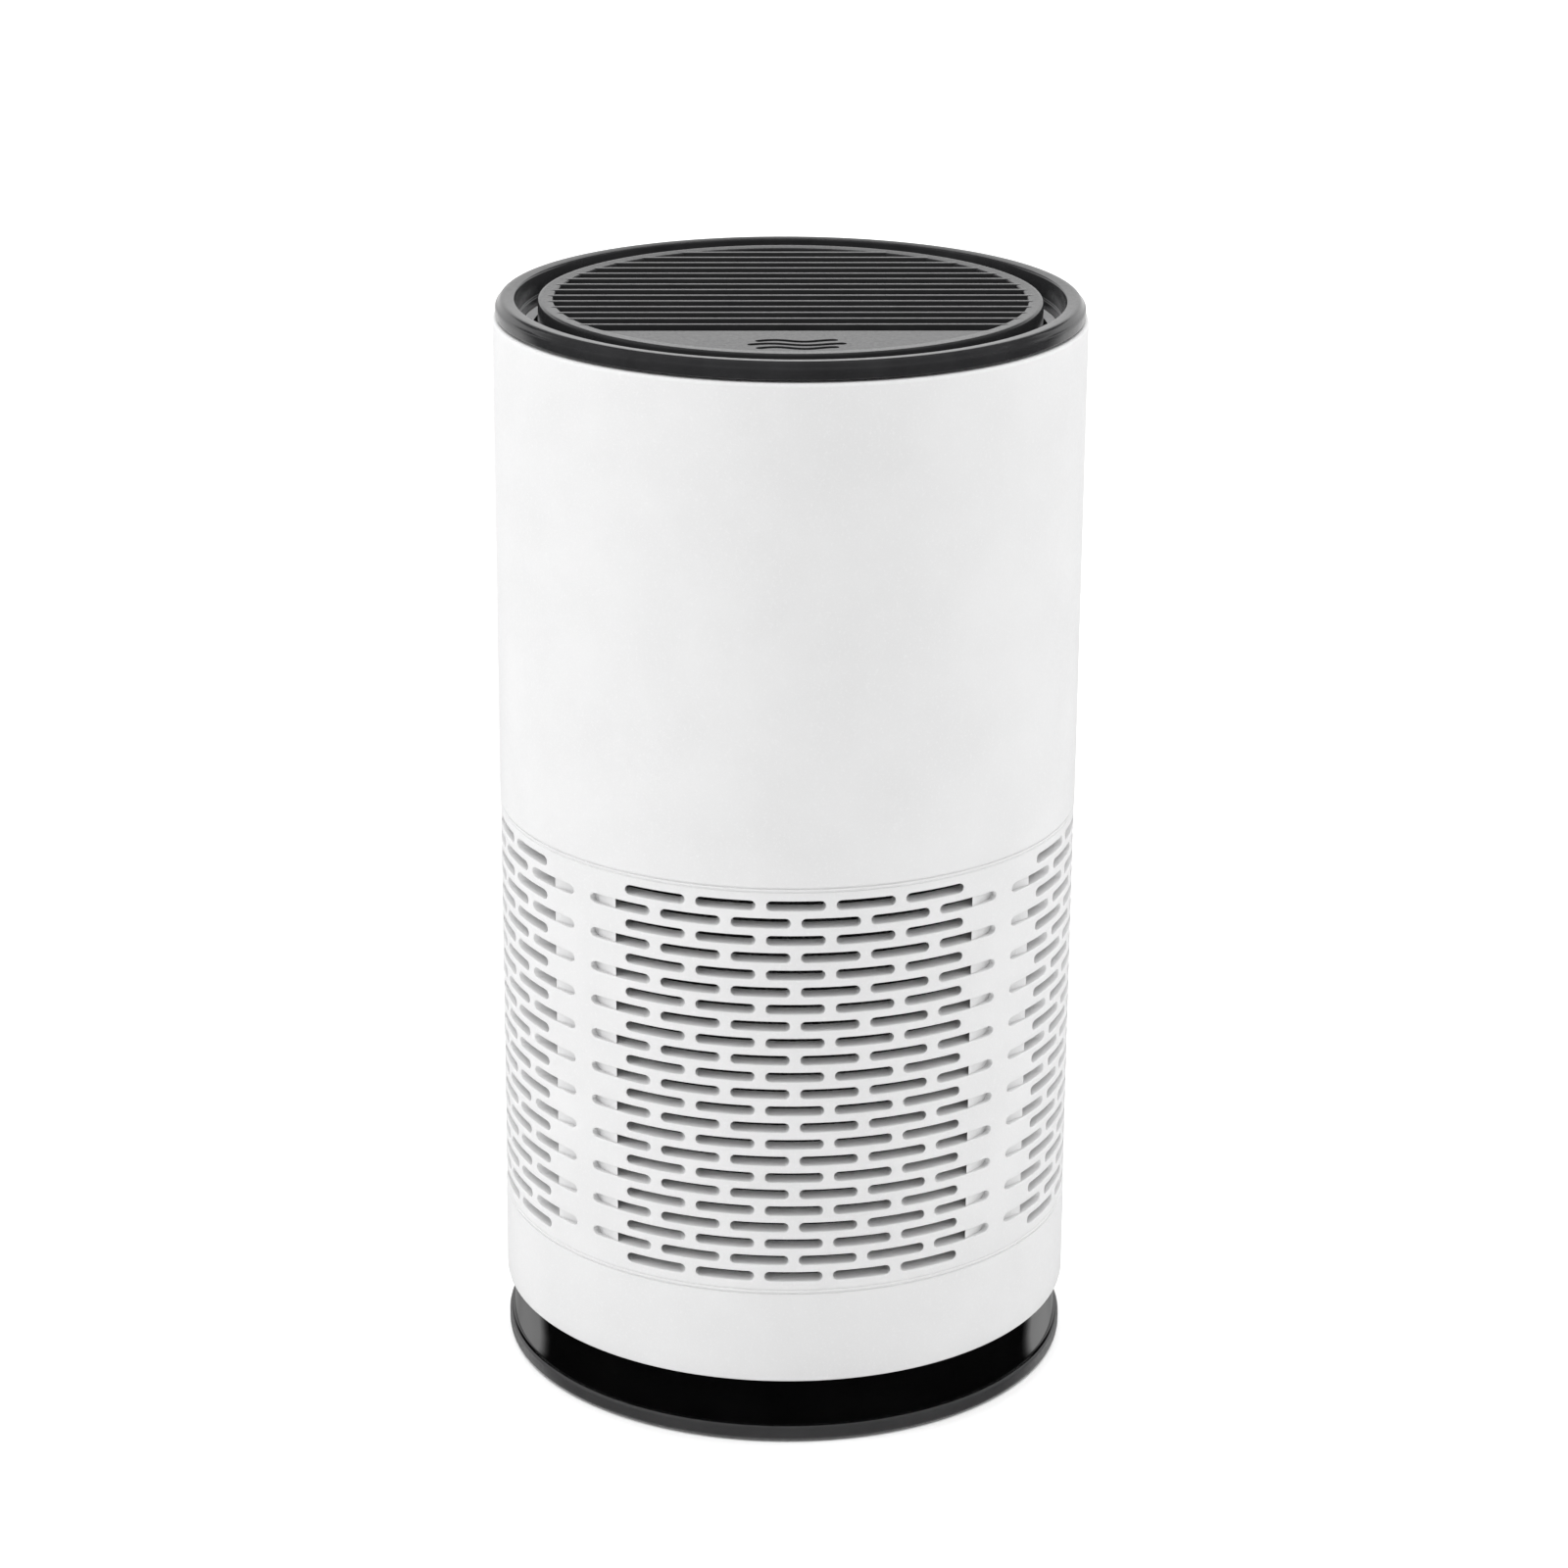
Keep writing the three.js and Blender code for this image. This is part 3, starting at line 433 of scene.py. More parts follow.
ALL_LOOKS = [
    white_abs(), black_satin(), black_gloss(), black_semi_gloss(),
    # pale grey for the trench shelf: a painted reflection, made light enough to show through the trench's
    # shade
    moulded("shelf_painted_sheen_abs", (0.3, 0.3, 0.305), (0.34, 0.34, 0.345), 0.4),
    moulded("flange_abs", (0.032, 0.032, 0.033), (0.037, 0.037, 0.038), 0.36),
    moulded("grey_abs", (0.05, 0.051, 0.054), (0.07, 0.071, 0.075)),
    rubber(), carbon_foam(), filter_paper(), eva_foam(), steel(), copper(), bronze(), ferrite(),
    circuit_board(), clear_lens(), led_resin(),
]
LOOKS = {look.name: look.material for look in ALL_LOOKS}


def finish_piece(obj, body, slot, *nodes):
    """Gives a piece its material, rides it on its body and lets it stand for CAD nodes."""
    if not obj.data.materials:
        obj.data.materials.append(LOOKS[slot])
    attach(obj, body)
    if nodes:
        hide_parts(*nodes)
    return obj


# ---------------- outer shell

BAND_R = SHELL_R - 0.06
WALL_IN = SHELL_R - 2.35
SLOT_ROWS = 23
SLOT_HALF_H = 0.6
SLOT_HALF = 3.45
SLOT_STEP = 4.05  # half the pitch of the slots, which each row is shifted by
SLOT_EDGE = 0.09  # softened edge round each slot
FIRST_ROW_Z = 68.6
LAST_ROW_Z = 21.9
PILLAR_EDGE = 20.85
SEAM_X = BAND_R / sqrt(2)
BLIND_DEPTH = 0.12
STRAIGHT = SLOT_HALF - SLOT_HALF_H
USB_CORNER = 1.5


def column_stations():
    """Distances from the middle of one side, out to the seam, at which the mesh has columns."""
    arc = [STRAIGHT + SLOT_HALF_H * cos(radians(a)) for a in (0, 22.5, 45, 67.5, 90)]
    offsets = {0, SLOT_STEP / 2, *arc, *(SLOT_STEP - a for a in arc)}
    offsets = sorted(round(o, 4) for o in offsets)
    out = [SLOT_STEP * m + o for m in range(6) for o in offsets]
    out += [SLOT_STEP * 6, SEAM_X]
    return [-x for x in out[:0:-1]] + out


STATIONS = column_stations()
SIDE_COLUMNS = len(STATIONS) - 1
COLUMNS = SIDE_COLUMNS * 4


def inner_angle(x):
    """Slots run straight in, so inside the wall a column stands at a wider angle."""
    if abs(x) <= PILLAR_EDGE:
        return asin(x / WALL_IN)
    edge = asin(PILLAR_EDGE / WALL_IN)
    share = (abs(x) - PILLAR_EDGE) / (SEAM_X - PILLAR_EDGE)
    return (edge + (pi / 4 - edge) * share) * (1 if x > 0 else -1)


def slot_centre(row, x):
    """Middle of the slot cell that holds x, in a given row."""
    shift = SLOT_STEP if row % 2 else 0
    return round((x - shift) / (2 * SLOT_STEP)) * 2 * SLOT_STEP + shift


def slot_rim(row, x, middle):
    """(half height, outward x, outward z) of the slot edge at x, or None outside the slots."""
    centre = slot_centre(row, middle)
    dx = x - centre
    if abs(dx) > SLOT_HALF + 1e-3 or abs(centre) > SLOT_STEP * 5.5:
        return None
    if abs(dx) <= STRAIGHT + 1e-3:
        return SLOT_HALF_H, 0.0, 1.0
    across = min((abs(dx) - STRAIGHT) / SLOT_HALF_H, 1.0)
    up = sqrt(max(0.0, 1 - across * across))
    return SLOT_HALF_H * up, across * (1 if dx > 0 else -1), up


def floor_depth(x):
    """Depth of the blind end of a shifted row, which sinks into the pillar towards its tip."""
    return BLIND_DEPTH + 0.62 * min(max((abs(x) - PILLAR_EDGE) / 2.6, 0.0), 1.0)


class Shell:
    """The white shell as one closed mesh, built column by column round the wall."""

    def __init__(self):
        self.verts = []
        self.faces = []
        self.shared = {}

    def point(self, column, r, z, planar_x=None, inner=False):
        side, i = divmod(column % COLUMNS, SIDE_COLUMNS)
        x = STATIONS[i] if planar_x is None else planar_x
        angle = inner_angle(x) if inner else asin(x / BAND_R)
        angle += side * pi / 2
        self.verts.append((r * sin(angle), -r * cos(angle), z))
        return len(self.verts) - 1

    def once(self, key, *args, **kwargs):
        if key not in self.shared:
            self.shared[key] = self.point(*args, **kwargs)
        return self.shared[key]

    def face(self, *corners):
        """A face over the corners that there are, or none where they close up to a line."""
        unique = [c for i, c in enumerate(corners) if c is not None and c not in corners[:i]]
        if len(unique) > 2:
            self.faces.append(unique)

    def ring_at(self, name, r, z, inner=False):
        return [self.once((name, c), c, r, z, inner=inner) for c in range(COLUMNS)]

    def join_rings(self, low, high):
        for c in range(COLUMNS):
            n = (c + 1) % COLUMNS
            self.face(low[c], low[n], high[n], high[c])

    def wall(self, profile, name):
        """Rings along a profile of (radius, height, inside) points; returns first and last."""
        rings = [self.ring_at((name, i), r, z, inner) for i, (r, z, inner) in enumerate(profile)]
        for low, high in zip(rings, rings[1:]):
            self.join_rings(low, high)
        return rings[0], rings[-1]

    def slot_loops(self, row, column, z, side, key):
        """Points of the slot edge from the surface down into the wall, at one column edge."""
        first = column % SIDE_COLUMNS
        x = STATIONS[first + key]
        i = (column + key) % COLUMNS
        middle = (STATIONS[first] + STATIONS[first + 1]) / 2
        height, out_x, out_z = slot_rim(row, x, middle)
        tip = "tip" if height < 1e-6 else side
        sign = 1 if side == "up" else -1
        loops = []
        for n, (grow, depth) in enumerate(((1.0, 0.0), (0.3, 0.3), (0.0, 1.0))):
            px = x + out_x * grow * SLOT_EDGE
            pz = z + sign * (height + out_z * grow * SLOT_EDGE)
            rim_r = BAND_R - depth * SLOT_EDGE
            loops.append(self.once(("rim", row, i, tip, n), column, rim_r, pz, planar_x=px))
        blind = abs(middle) > PILLAR_EDGE
        deep_z = z + sign * height
        floor_point = inside = None
        if blind or self.is_step(x, row):
            floor_r = BAND_R - SLOT_EDGE - floor_depth(x)
            floor_point = self.once(("floor", row, i, tip), column, floor_r, deep_z, planar_x=x)
        if not blind:
            key_in = ("inside", row, i, tip)
            inside = self.once(key_in, column, WALL_IN, deep_z, planar_x=x, inner=True)
        return loops, floor_point, inside

    @staticmethod
    def is_step(x, row):
        return row % 2 == 1 and abs(abs(x) - PILLAR_EDGE) < 1e-3

    def middle_point(self, row, z, column, inner):
        """Where the upper and lower half of a row meet beside a slot."""
        i = column % COLUMNS
        tip = ("inside", row, i, "tip") if inner else ("rim", row, i, "tip", 0)
        if tip in self.shared:
            return self.shared[tip]
        radius = WALL_IN if inner else BAND_R
        return self.once(("middle", row, i, inner), column, radius, z, inner=inner)

    def band_cell(self, row, z, c, rings):
        n = (c + 1) % COLUMNS
        top, bottom, top_in, bottom_in = rings
        left, right = STATIONS[c % SIDE_COLUMNS], STATIONS[c % SIDE_COLUMNS + 1]
        middle = (left + right) / 2
        if slot_rim(row, middle, middle) is None:
            a, b = self.middle_point(row, z, c, False), self.middle_point(row, z, n, False)
            self.face(a, b, top[n], top[c])
            self.face(bottom[c], bottom[n], b, a)
            a, b = self.middle_point(row, z, c, True), self.middle_point(row, z, n, True)
            self.face(b, a, top_in[c], top_in[n])
            self.face(bottom_in[n], bottom_in[c], a, b)
            return
        ends = [self.slot_loops(row, c, z, side, key) for side in ("up", "down") for key in (0, 1)]
        (rim_ul, rim_ur, rim_dl, rim_dr), floors, insides = zip(*ends)
        floor_ul, floor_ur, floor_dl, floor_dr = floors
        in_ul, in_ur, in_dl, in_dr = insides
        self.face(rim_ul[0], rim_ur[0], top[n], top[c])
        self.face(bottom[c], bottom[n], rim_dr[0], rim_dl[0])
        for k in (0, 1):
            self.face(rim_ul[k + 1], rim_ur[k + 1], rim_ur[k], rim_ul[k])
            self.face(rim_dl[k], rim_dr[k], rim_dr[k + 1], rim_dl[k + 1])
        if abs(middle) > PILLAR_EDGE:
            self.face(floor_ul, floor_ur, rim_ur[2], rim_ul[2])
            self.face(rim_dl[2], rim_dr[2], floor_dr, floor_dl)
            self.face(floor_dl, floor_dr, floor_ur, floor_ul)
            self.blind_back(row, z, c, n, (top_in, bottom_in), (left, right))
            return
        self.face(in_ul, in_ur, floor_ur, rim_ur[2], rim_ul[2], floor_ul)
        self.face(rim_dl[2], rim_dr[2], floor_dr, in_dr, in_dl, floor_dl)
        self.face(in_ur, in_ul, top_in[c], top_in[n])
        self.face(bottom_in[n], bottom_in[c], in_dl, in_dr)
        self.face(floor_ur, in_ur, in_dr, floor_dr)
        self.face(floor_ul, floor_dl, in_dl, in_ul)

    def blind_back(self, row, z, c, n, rings, edges):
        """The solid back of the wall behind a blind slot."""
        top_in, bottom_in = rings
        ends = []
        for column, x in zip((c, n), edges):
            if self.is_step(x, row):
                ends.append([self.once(
                    ("inside", row, column, side), column, WALL_IN, z + sign * SLOT_HALF_H, inner=True)
                    for side, sign in (("up", 1), ("down", -1))])
            else:
                ends.append([self.middle_point(row, z, column, True)] * 2)
        (lu, ld), (ru, rd) = ends
        self.face(ru, lu, top_in[c], top_in[n])
        self.face(bottom_in[n], bottom_in[c], ld, rd)
        self.face(lu, ru, rd, ld)


def lip(z, way):
    """The edge of the slotted band: two fine grooves with a ridge between them."""
    steps = ((0.4, 0), (0.24, 0), (0.16, 0.12), (0.04, 0.12), (-0.04, 0.01), (-0.2, 0.01),
             (-0.28, 0.12), (-0.4, 0.12), (-0.48, 0.06), (-0.6, 0.06))
    return [(SHELL_R - depth, z + way * up, False) for up, depth in steps]


def outer_shell():
    shell = Shell()
    pitch = (FIRST_ROW_Z - LAST_ROW_Z) / (SLOT_ROWS - 1)
    band_top, band_bottom = FIRST_ROW_Z + pitch / 2, LAST_ROW_Z - pitch / 2
    shoulder = 0.45
    z0, z1 = SHELL_LO.z, SHELL_HI.z
    heights = [band_top - k * pitch for k in range(SLOT_ROWS + 1)]
    outside = [shell.ring_at(("row", k), BAND_R, z) for k, z in enumerate(heights)]
    inside = [shell.ring_at(("row in", k), WALL_IN, z, True) for k, z in enumerate(heights)]
    for row in range(SLOT_ROWS):
        z = (heights[row] + heights[row + 1]) / 2
        rings = (outside[row], outside[row + 1], inside[row], inside[row + 1])
        for c in range(COLUMNS):
            shell.band_cell(row, z, c, rings)
    upper = lip(band_top + 1.0, 1)[::-1]
    upper += [(SHELL_R, z, False) for z in (*range(76, 125, 8), z1 - shoulder)]
    upper += [(SHELL_R - 0.06, z1 - 0.2, False), (SHELL_R - 0.2, z1 - 0.06, False)]
    upper += [(SHELL_R - shoulder, z1, False), (WALL_IN, z1, True)]
    upper += [(WALL_IN, z, True) for z in (118, 104, 90, 77)]
    first, last = shell.wall(upper, "upper")
    shell.join_rings(outside[0], first)
    shell.join_rings(last, inside[0])
    lower = [(WALL_IN, 17, True), (WALL_IN, z0 + 0.3, True), (WALL_IN + 0.3, z0, True)]
    lower += [(SHELL_R - 0.5, z0, False), (SHELL_R - 0.22, z0 + 0.07, False)]
    lower += [(SHELL_R - 0.07, z0 + 0.22, False), (SHELL_R, z0 + 0.5, False)]
    lower += [(SHELL_R, z, False) for z in (11, 15)] + lip(band_bottom - 1.0, -1)
    first, last = shell.wall(lower, "lower")
    shell.join_rings(inside[-1], first)
    shell.join_rings(last, outside[-1])
    obj = make_object("outer_shell_fine", shell.verts, shell.faces, 40)
    return cut(obj, [usb_window()])


def stadium(half_w, half_h, r):
    """A rectangle with round corners."""
    corners = [(-half_w, -half_h, r), (half_w, -half_h, r), (half_w, half_h, r), (-half_w, half_h, r)]
    return rounded(corners, 8)


def face_back(obj, y, z):
    """Stands a prism so that its height runs from y towards the back."""
    turn = Matrix.Rotation(-pi / 2, 4, "X")
    obj.matrix_world = Matrix.Translation(Vector((0, y, z)) * MM) @ turn
    return obj


def usb_window():
    lo, hi = span("usb_socket")
    outline = stadium(hi.x + GAP, (hi.z - lo.z) / 2 + GAP, USB_CORNER)
    cutter = prism("usb_window", outline, [(0, 0), (5.4, 0), (5.75, 0.25), (8, 0.25)])
    return face_back(cutter, SHELL_R - 5.7, (lo.z + hi.z) / 2)


def shell_fittings():
    """Bayonet ledges, stop ribs and the deck ledge inside the shell."""
    ledge_r, z0, z1 = 31.0, 11.1, 12.6
    deck_ledge_r = 30.9
    rooted = WALL_IN + 0.4
    pieces = []
    for a in QUARTERS:
        pieces.append(arc_block("ledge", ledge_r, rooted, a + 14, a + 76, z0, z1))
        pieces.append(arc_block("stop", ledge_r, rooted, a - 39, a - 37, z1 - 0.2, 15))
    deck_z = span("fan_deck")[0].z - GAP
    pieces.append(turned("deck_ledge", [
        (deck_ledge_r, deck_z - 1.1, 0.1), (rooted, deck_z - 2.8, 0), (rooted, deck_z, 0),
        (deck_ledge_r, deck_z, 0.1),
    ], 128))
    return merge("shell_fittings", pieces)


def arc_block(name, r_in, r_out, start, end, z0, z1, edge=0.15):
    """Part of a ring between two directions in degrees."""
    steps = max(2, int((end - start) / 3))
    angles = [radians(start + (end - start) * k / steps) for k in range(steps + 1)]
    outline = [(r_out * cos(a), r_out * sin(a)) for a in angles]
    outline += [(r_in * cos(a), r_in * sin(a)) for a in reversed(angles)]
    return prism(name, outline, [(z0, -edge), (z0 + edge, 0), (z1 - edge, 0), (z1, -edge)])


# ---------------- top ring and base


SHELF_R = 30.3
SHELF_Z = 128.5
LIP_R = 32.35


def top_ring():
    """Crowned ring with an outer crease; the shelf round the bottom of its trench gets a pale grey that
    paints in the bright reflection it shows.
    """
    z1, z0 = RING_HI.z, RING_LO.z
    seat = SHELL_HI.z + 0.25
    collar, collar_in = 32.3, 30.9
    ring_body = turned("top_ring_fine", [
        (collar_in, z0, 0.2), (collar - 0.4, z0, 0.2), (collar, z0 + 1, 0.2), (collar, seat, 0.1),
        (RING_R, seat, 0.2), (RING_R, z1 - 0.85, 0.3), (RING_R - 0.25, z1 - 0.62, 0.15),
        (LIP_R + 1.7, z1 - 0.1, 0.3),
        (LIP_R + 1.4, z1, 0.3), (LIP_R + 0.1, z1 - 0.1, 0.08), (LIP_R, z1 - 0.25, 0.12),
        (LIP_R - 0.3, SHELF_Z + 1.1, 0.1), (LIP_R - 0.6, SHELF_Z + 1, 0.1), (LIP_R - 0.7, SHELF_Z, 0.2),
        (SHELF_R, SHELF_Z, 0.2), (SHELF_R, SHELF_Z - 0.9, 0.2), (collar_in, SHELF_Z - 0.9, 0.1),
    ], 256)
    ring_body.data.materials.append(LOOKS["black_semi_gloss_abs"])
    # the shelf faces get the pale grey that paints in their reflection
    ring_body.data.materials.append(LOOKS["shelf_painted_sheen_abs"])
    for face in ring_body.data.polygons:
        if abs(face.center.z / MM - SHELF_Z) < 0.05:
            face.material_index = 1
    return ring_body


def base_foot():
    """A glossy cup on a satin flange, with pockets for the pads and sunk holes for the screws."""
    z0, z1 = FOOT_LO.z, FOOT_HI.z
    wall, inside, floor_top = FOOT_R - 0.85, 31.6, 3.0
    flange = z0 + 1.8
    sink_r, sink_top, bore_r = 2.3, 2.1, 1.1
    foot = turned("base_foot_fine", [
        (0, z0, 0), (FOOT_R - 0.1, z0, 0.12), (FOOT_R, z0 + 0.3, 0.2), (FOOT_R, flange - 0.25, 0.15),
        (FOOT_R - 0.22, flange, 0.15), (wall + 0.3, flange + 0.08, 0.15),
        (wall + 0.2, flange + 1.7, 1.2), (wall, z1, 0.25), (inside, z1, 0.25),
        (inside, floor_top, 0.2), (0, floor_top, 0),
    ], 256)
    cutters = []
    for i, node in enumerate(numbered("foot_pad", 4)):
        lo, hi = span(node)
        pocket_r = (hi.x - lo.x) / 2 + GAP
        cutters.append(plug(f"pocket_{i}", (lo + hi) / 2, pocket_r, -1, hi.z + GAP))
    for i, node in enumerate(numbered("tray_screw", 3)):
        lo, hi = span(node)
        middle = (lo + hi) / 2
        cutters.append(plug(f"sink_{i}", middle, sink_r, -1, sink_top))
        cutters.append(plug(f"bore_{i}", middle, bore_r, 1, floor_top + 1))
    foot.data.materials.append(LOOKS["black_gloss_abs"])
    foot.data.materials.append(LOOKS["flange_abs"])
    cut(foot, cutters)
    for face in foot.data.polygons:
        face.material_index = 1 if face.center.z / MM < flange - 0.05 else 0
    return foot


def plug(name, centre, r, z0, z1):
    """A plain round cutter standing at a point."""
    angles = [tau * k / 48 for k in range(48)]
    outline = [(centre.x + r * cos(a), centre.y + r * sin(a)) for a in angles]
    return prism(name, outline, [(z0, 0), (z1, 0)])


def foot_pad(node):
    lo, hi = span(node)
    r = (hi.x - lo.x) / 2
    z = hi.z
    pad = turned(node + "_fine", [
        (0, lo.z + 0.25, 0), (r - 1.4, lo.z + 0.25, 0.2), (r - 1.0, lo.z, 0.2), (r, lo.z, 0.3),
        (r, z, 0.15), (0, z, 0),
    ], 64)
    pad.location = Vector(((lo.x + hi.x) / 2, (lo.y + hi.y) / 2, 0)) * MM
    return pad


# ---------------- screws and springs


def screw(node, flipped):
    """Pan head with a cross recess, over a plain shank with thread rings."""
    lo, hi = span(node)
    head_h, head_r, core_r, thread_r = 1.3, 1.9, 0.64, 0.85
    length = hi.z - lo.z - head_h
    thread = []
    turns = max(2, int(length / 0.4))
    for k in range(turns):
        z = -length + (k + 0.5) * (length - 0.3) / turns
        thread += [(core_r, z - 0.13, 0), (thread_r, z, 0.05), (core_r, z + 0.13, 0)]
    head = [(core_r, 0, 0), (head_r, 0, 0.15), (head_r, 0.7, 0.5), (0.9, head_h, 0.6), (0, head_h, 0)]
    obj = turned(node + "_fine", [(0, -length, 0), (0.4, -length, 0)] + thread + head, 40)
    arms = [(1.05, 0.24), (0.24, 1.05)]
    cut(obj, [slab(f"arm_{i}", (-x, x), (-y, y), (0.65, 1.5), 0.02) for i, (x, y) in enumerate(arms)])
    middle = (lo + hi) / 2
    seat = lo.z + head_h if flipped else hi.z - head_h
    turn = Matrix.Rotation(pi, 4, "X") if flipped else Matrix.Identity(4)
    obj.matrix_world = Matrix.Translation(Vector((middle.x, middle.y, seat)) * MM) @ turn
    return obj


def coil_spring(node):
    """A round wire wound upwards, its end turns lying flat."""
    turns, wire, flat_share = 5.5, 0.25, 0.13
    lo, hi = span(node)
    centre = (lo + hi) / 2
    r = (hi.x - lo.x) / 2 - wire
    rise = hi.z - lo.z - 2 * wire
    steps, sides = int(turns * 28), 10
    verts, faces = [], []
    for i in range(steps + 1):
        t = i / steps
        a = t * turns * tau
        lift = min(max((t - flat_share) / (1 - 2 * flat_share), 0), 1)
        for k in range(sides):
            b = k * tau / sides
            rr = r + wire * cos(b)
            verts.append((centre.x + rr * cos(a), centre.y + rr * sin(a),
                          lo.z + wire + rise * lift + wire * sin(b) + 0.02 * cos(pi * t)))
    for i in range(steps):
        for k in range(sides):
            n = (k + 1) % sides
            a, b = i * sides, (i + 1) * sides
            faces.append([a + k, b + k, b + n, a + n])
    faces.append(list(range(sides)))
    faces.append([steps * sides + k for k in range(sides)][::-1])
    return make_object(node + "_fine", verts, faces, 60)


# ---------------- louvred disc

PANEL_EDGE = -17.4
RIM_IN = 27.8
BAR_PITCH = 3.05
BAR_W = 0.8
BAR_COUNT = 14
BAR_TOP = DISC_TOP - 0.05
BAR_BOTTOM = 129.2
ICON_W = 10.2
ICON_Y = -24.3
ICON_STEP = 1.75
ICON_SHORT = 0.82  # the outer strokes against the middle one
ICON_WAVE = 0.42


def segment_outline(r, chord, corner=0.5, steps=90):
    """The louvre opening: a circle cut off by a chord, with small round corners."""
    edge = asin(chord / r)
    arc = [(r * cos(a), r * sin(a)) for a in
           (edge + (pi - 2 * edge) * k / steps for k in range(steps + 1))]
    (rx, ry), (lx, ly) = arc[0], arc[-1]
    return rounded([(lx, ly, corner), (rx, ry, corner)] + [(x, y, 0) for x, y in arc[1:-1]], 4)


def wave_outline(y, length, amplitude, stroke, steps=40):
    """A wavy stroke with round ends, as a closed outline."""
    def middle(t):
        return Vector((length * (t - 0.5), y + amplitude * sin(t * tau * 1.25)))

    upper, lower = [], []
    for k in range(steps + 1):
        t = k / steps
        ahead = (middle(t + 0.01) - middle(t - 0.01)).normalized()
        side = Vector((-ahead.y, ahead.x)) * stroke / 2
        upper.append(middle(t) + side)
        lower.append(middle(t) - side)

    def cap(centre, first, count=6):
        start = atan2(first.y - centre.y, first.x - centre.x)
        return [centre + Vector((cos(start + pi * k / count), sin(start + pi * k / count))) * stroke / 2
                for k in range(1, count)]

    points = lower + cap(middle(1), lower[-1]) + upper[::-1] + cap(middle(0), upper[0])
    return [tuple(p) for p in points]


def icon_solids(prefix, stroke, z0, z1, edge=0.0):
    """The airflow sign: three wavy strokes, the middle one longer."""
    solids = []
    for name, step, share in (("upper", 1, ICON_SHORT), ("middle", 0, 1), ("lower", -1, ICON_SHORT)):
        outline = wave_outline(ICON_Y + step * ICON_STEP, ICON_W * share, ICON_WAVE, stroke)
        solids.append(prism(f"{prefix}_{name}", outline, [(z0, 0), (z1 - edge, 0), (z1, edge)]))
    return solids


def outlet_disc():
    """The key: a rim that rises a little outwards, a flat panel and louvres."""
    top, skirt = DISC_TOP, 125.9
    panel = top - 0.1
    disc = turned("outlet_disc_fine", [
        (0, top - 1.6, 0), (RIM_IN, top - 1.6, 0.1), (RIM_IN, skirt, 0.2), (DISC_R, skirt, 0.2),
        (DISC_R, top - 0.05, 0.4), (DISC_R - 0.4, top, 0.1), (RIM_IN - 0.1, panel, 0.2), (0, panel, 0),
    ], 256)
    outline = segment_outline(RIM_IN, PANEL_EDGE)
    opening = prism("opening", outline, [(top - 3, 0), (top - 0.22, 0), (top + 0.1, 0.3)])
    cut(disc, [opening] + icon_solids("groove", 0.95, top - 0.7, top - 0.06, 0.08))
    bars = []
    for i in range(BAR_COUNT):
        y = PANEL_EDGE + (i + 1) * BAR_PITCH - BAR_W / 2
        reach = sqrt((RIM_IN + 0.8) ** 2 - max(abs(y), abs(y + BAR_W)) ** 2)
        bars.append(louvre_bar(f"bar_{i}", reach, y))
    rib_z = (BAR_BOTTOM - 1.4, BAR_BOTTOM + 0.4)
    ribs = [slab(f"rib_{i}", (x - 0.6, x + 0.6), (PANEL_EDGE - 1, 25.2), rib_z)
            for i, x in enumerate((-12, 12))]
    return merge("outlet_disc_fine", [disc, *bars, *ribs, *disc_fittings()])


def louvre_bar(name, reach, y):
    """A bar with softened long edges, its ends sunk in the rim."""
    far = y + BAR_W
    section = rounded([
        (y, BAR_BOTTOM, 0.2), (far, BAR_BOTTOM, 0.2), (far, BAR_TOP, 0.1), (y, BAR_TOP, 0.1)], 3)
    count = len(section)
    verts = [(x, a, b) for x in (-reach, reach) for a, b in section]
    faces = [face[::-1] for face in quads_between(0, count, count)]
    faces.append(list(range(count)))
    faces.append([count + i for i in range(count)][::-1])
    return make_object(name, verts, faces)


def peg(name, place, r, z0, z1, edge):
    """A round peg with its lower end softened."""
    obj = turned(name, [(0, z0, 0), (r, z0, edge), (r, z1, 0), (0, z1, 0)], 32)
    obj.location = place * MM
    return obj


def disc_fittings():
    """Spring seats, guide posts, hooks and the plunger under the disc."""
    seat_r, post_r, circle = 2.5, 1.5, 28
    seat_z0, seat_z1 = 125.3, 126.3
    post_z0, post_z1 = 114.5, 125.8
    plunger_z0, plunger_z1 = 127.65, 131
    hook_top = SHELF_Z - 0.92
    pieces = []
    for i, a in enumerate((90, 210, 330)):
        place = on_circle(circle, a)
        pieces.append(peg(f"seat_{i}", place, seat_r, seat_z0, seat_z1, 0.2))
        pieces.append(peg(f"post_{i}", place, post_r, post_z0, post_z1, 0.4))
    for i, a in enumerate(THIRDS):
        pieces.append(arc_block(
            f"hook_{i}", DISC_R - 0.9, SHELF_R + 0.4, a - 6, a + 6, seat_z1, hook_top, 0.1))
    pieces.append(peg("plunger", Vector((-9, -20, 0)), post_r, plunger_z0, plunger_z1, 0.3))
    return pieces


def icon_lens():
    lo = span("icon_lens")[0]
    top = DISC_TOP
    strokes = icon_solids("stroke", 0.85, lo.z + 0.6, top - 0.4)
    tile = slab("tile", (-6.1, 6.1), (-26.4, -20.7), (lo.z, top - 1.9), 0.1)
    return merge("icon_lens_fine", [tile, *strokes])


# ---------------- filter cartridge and tray


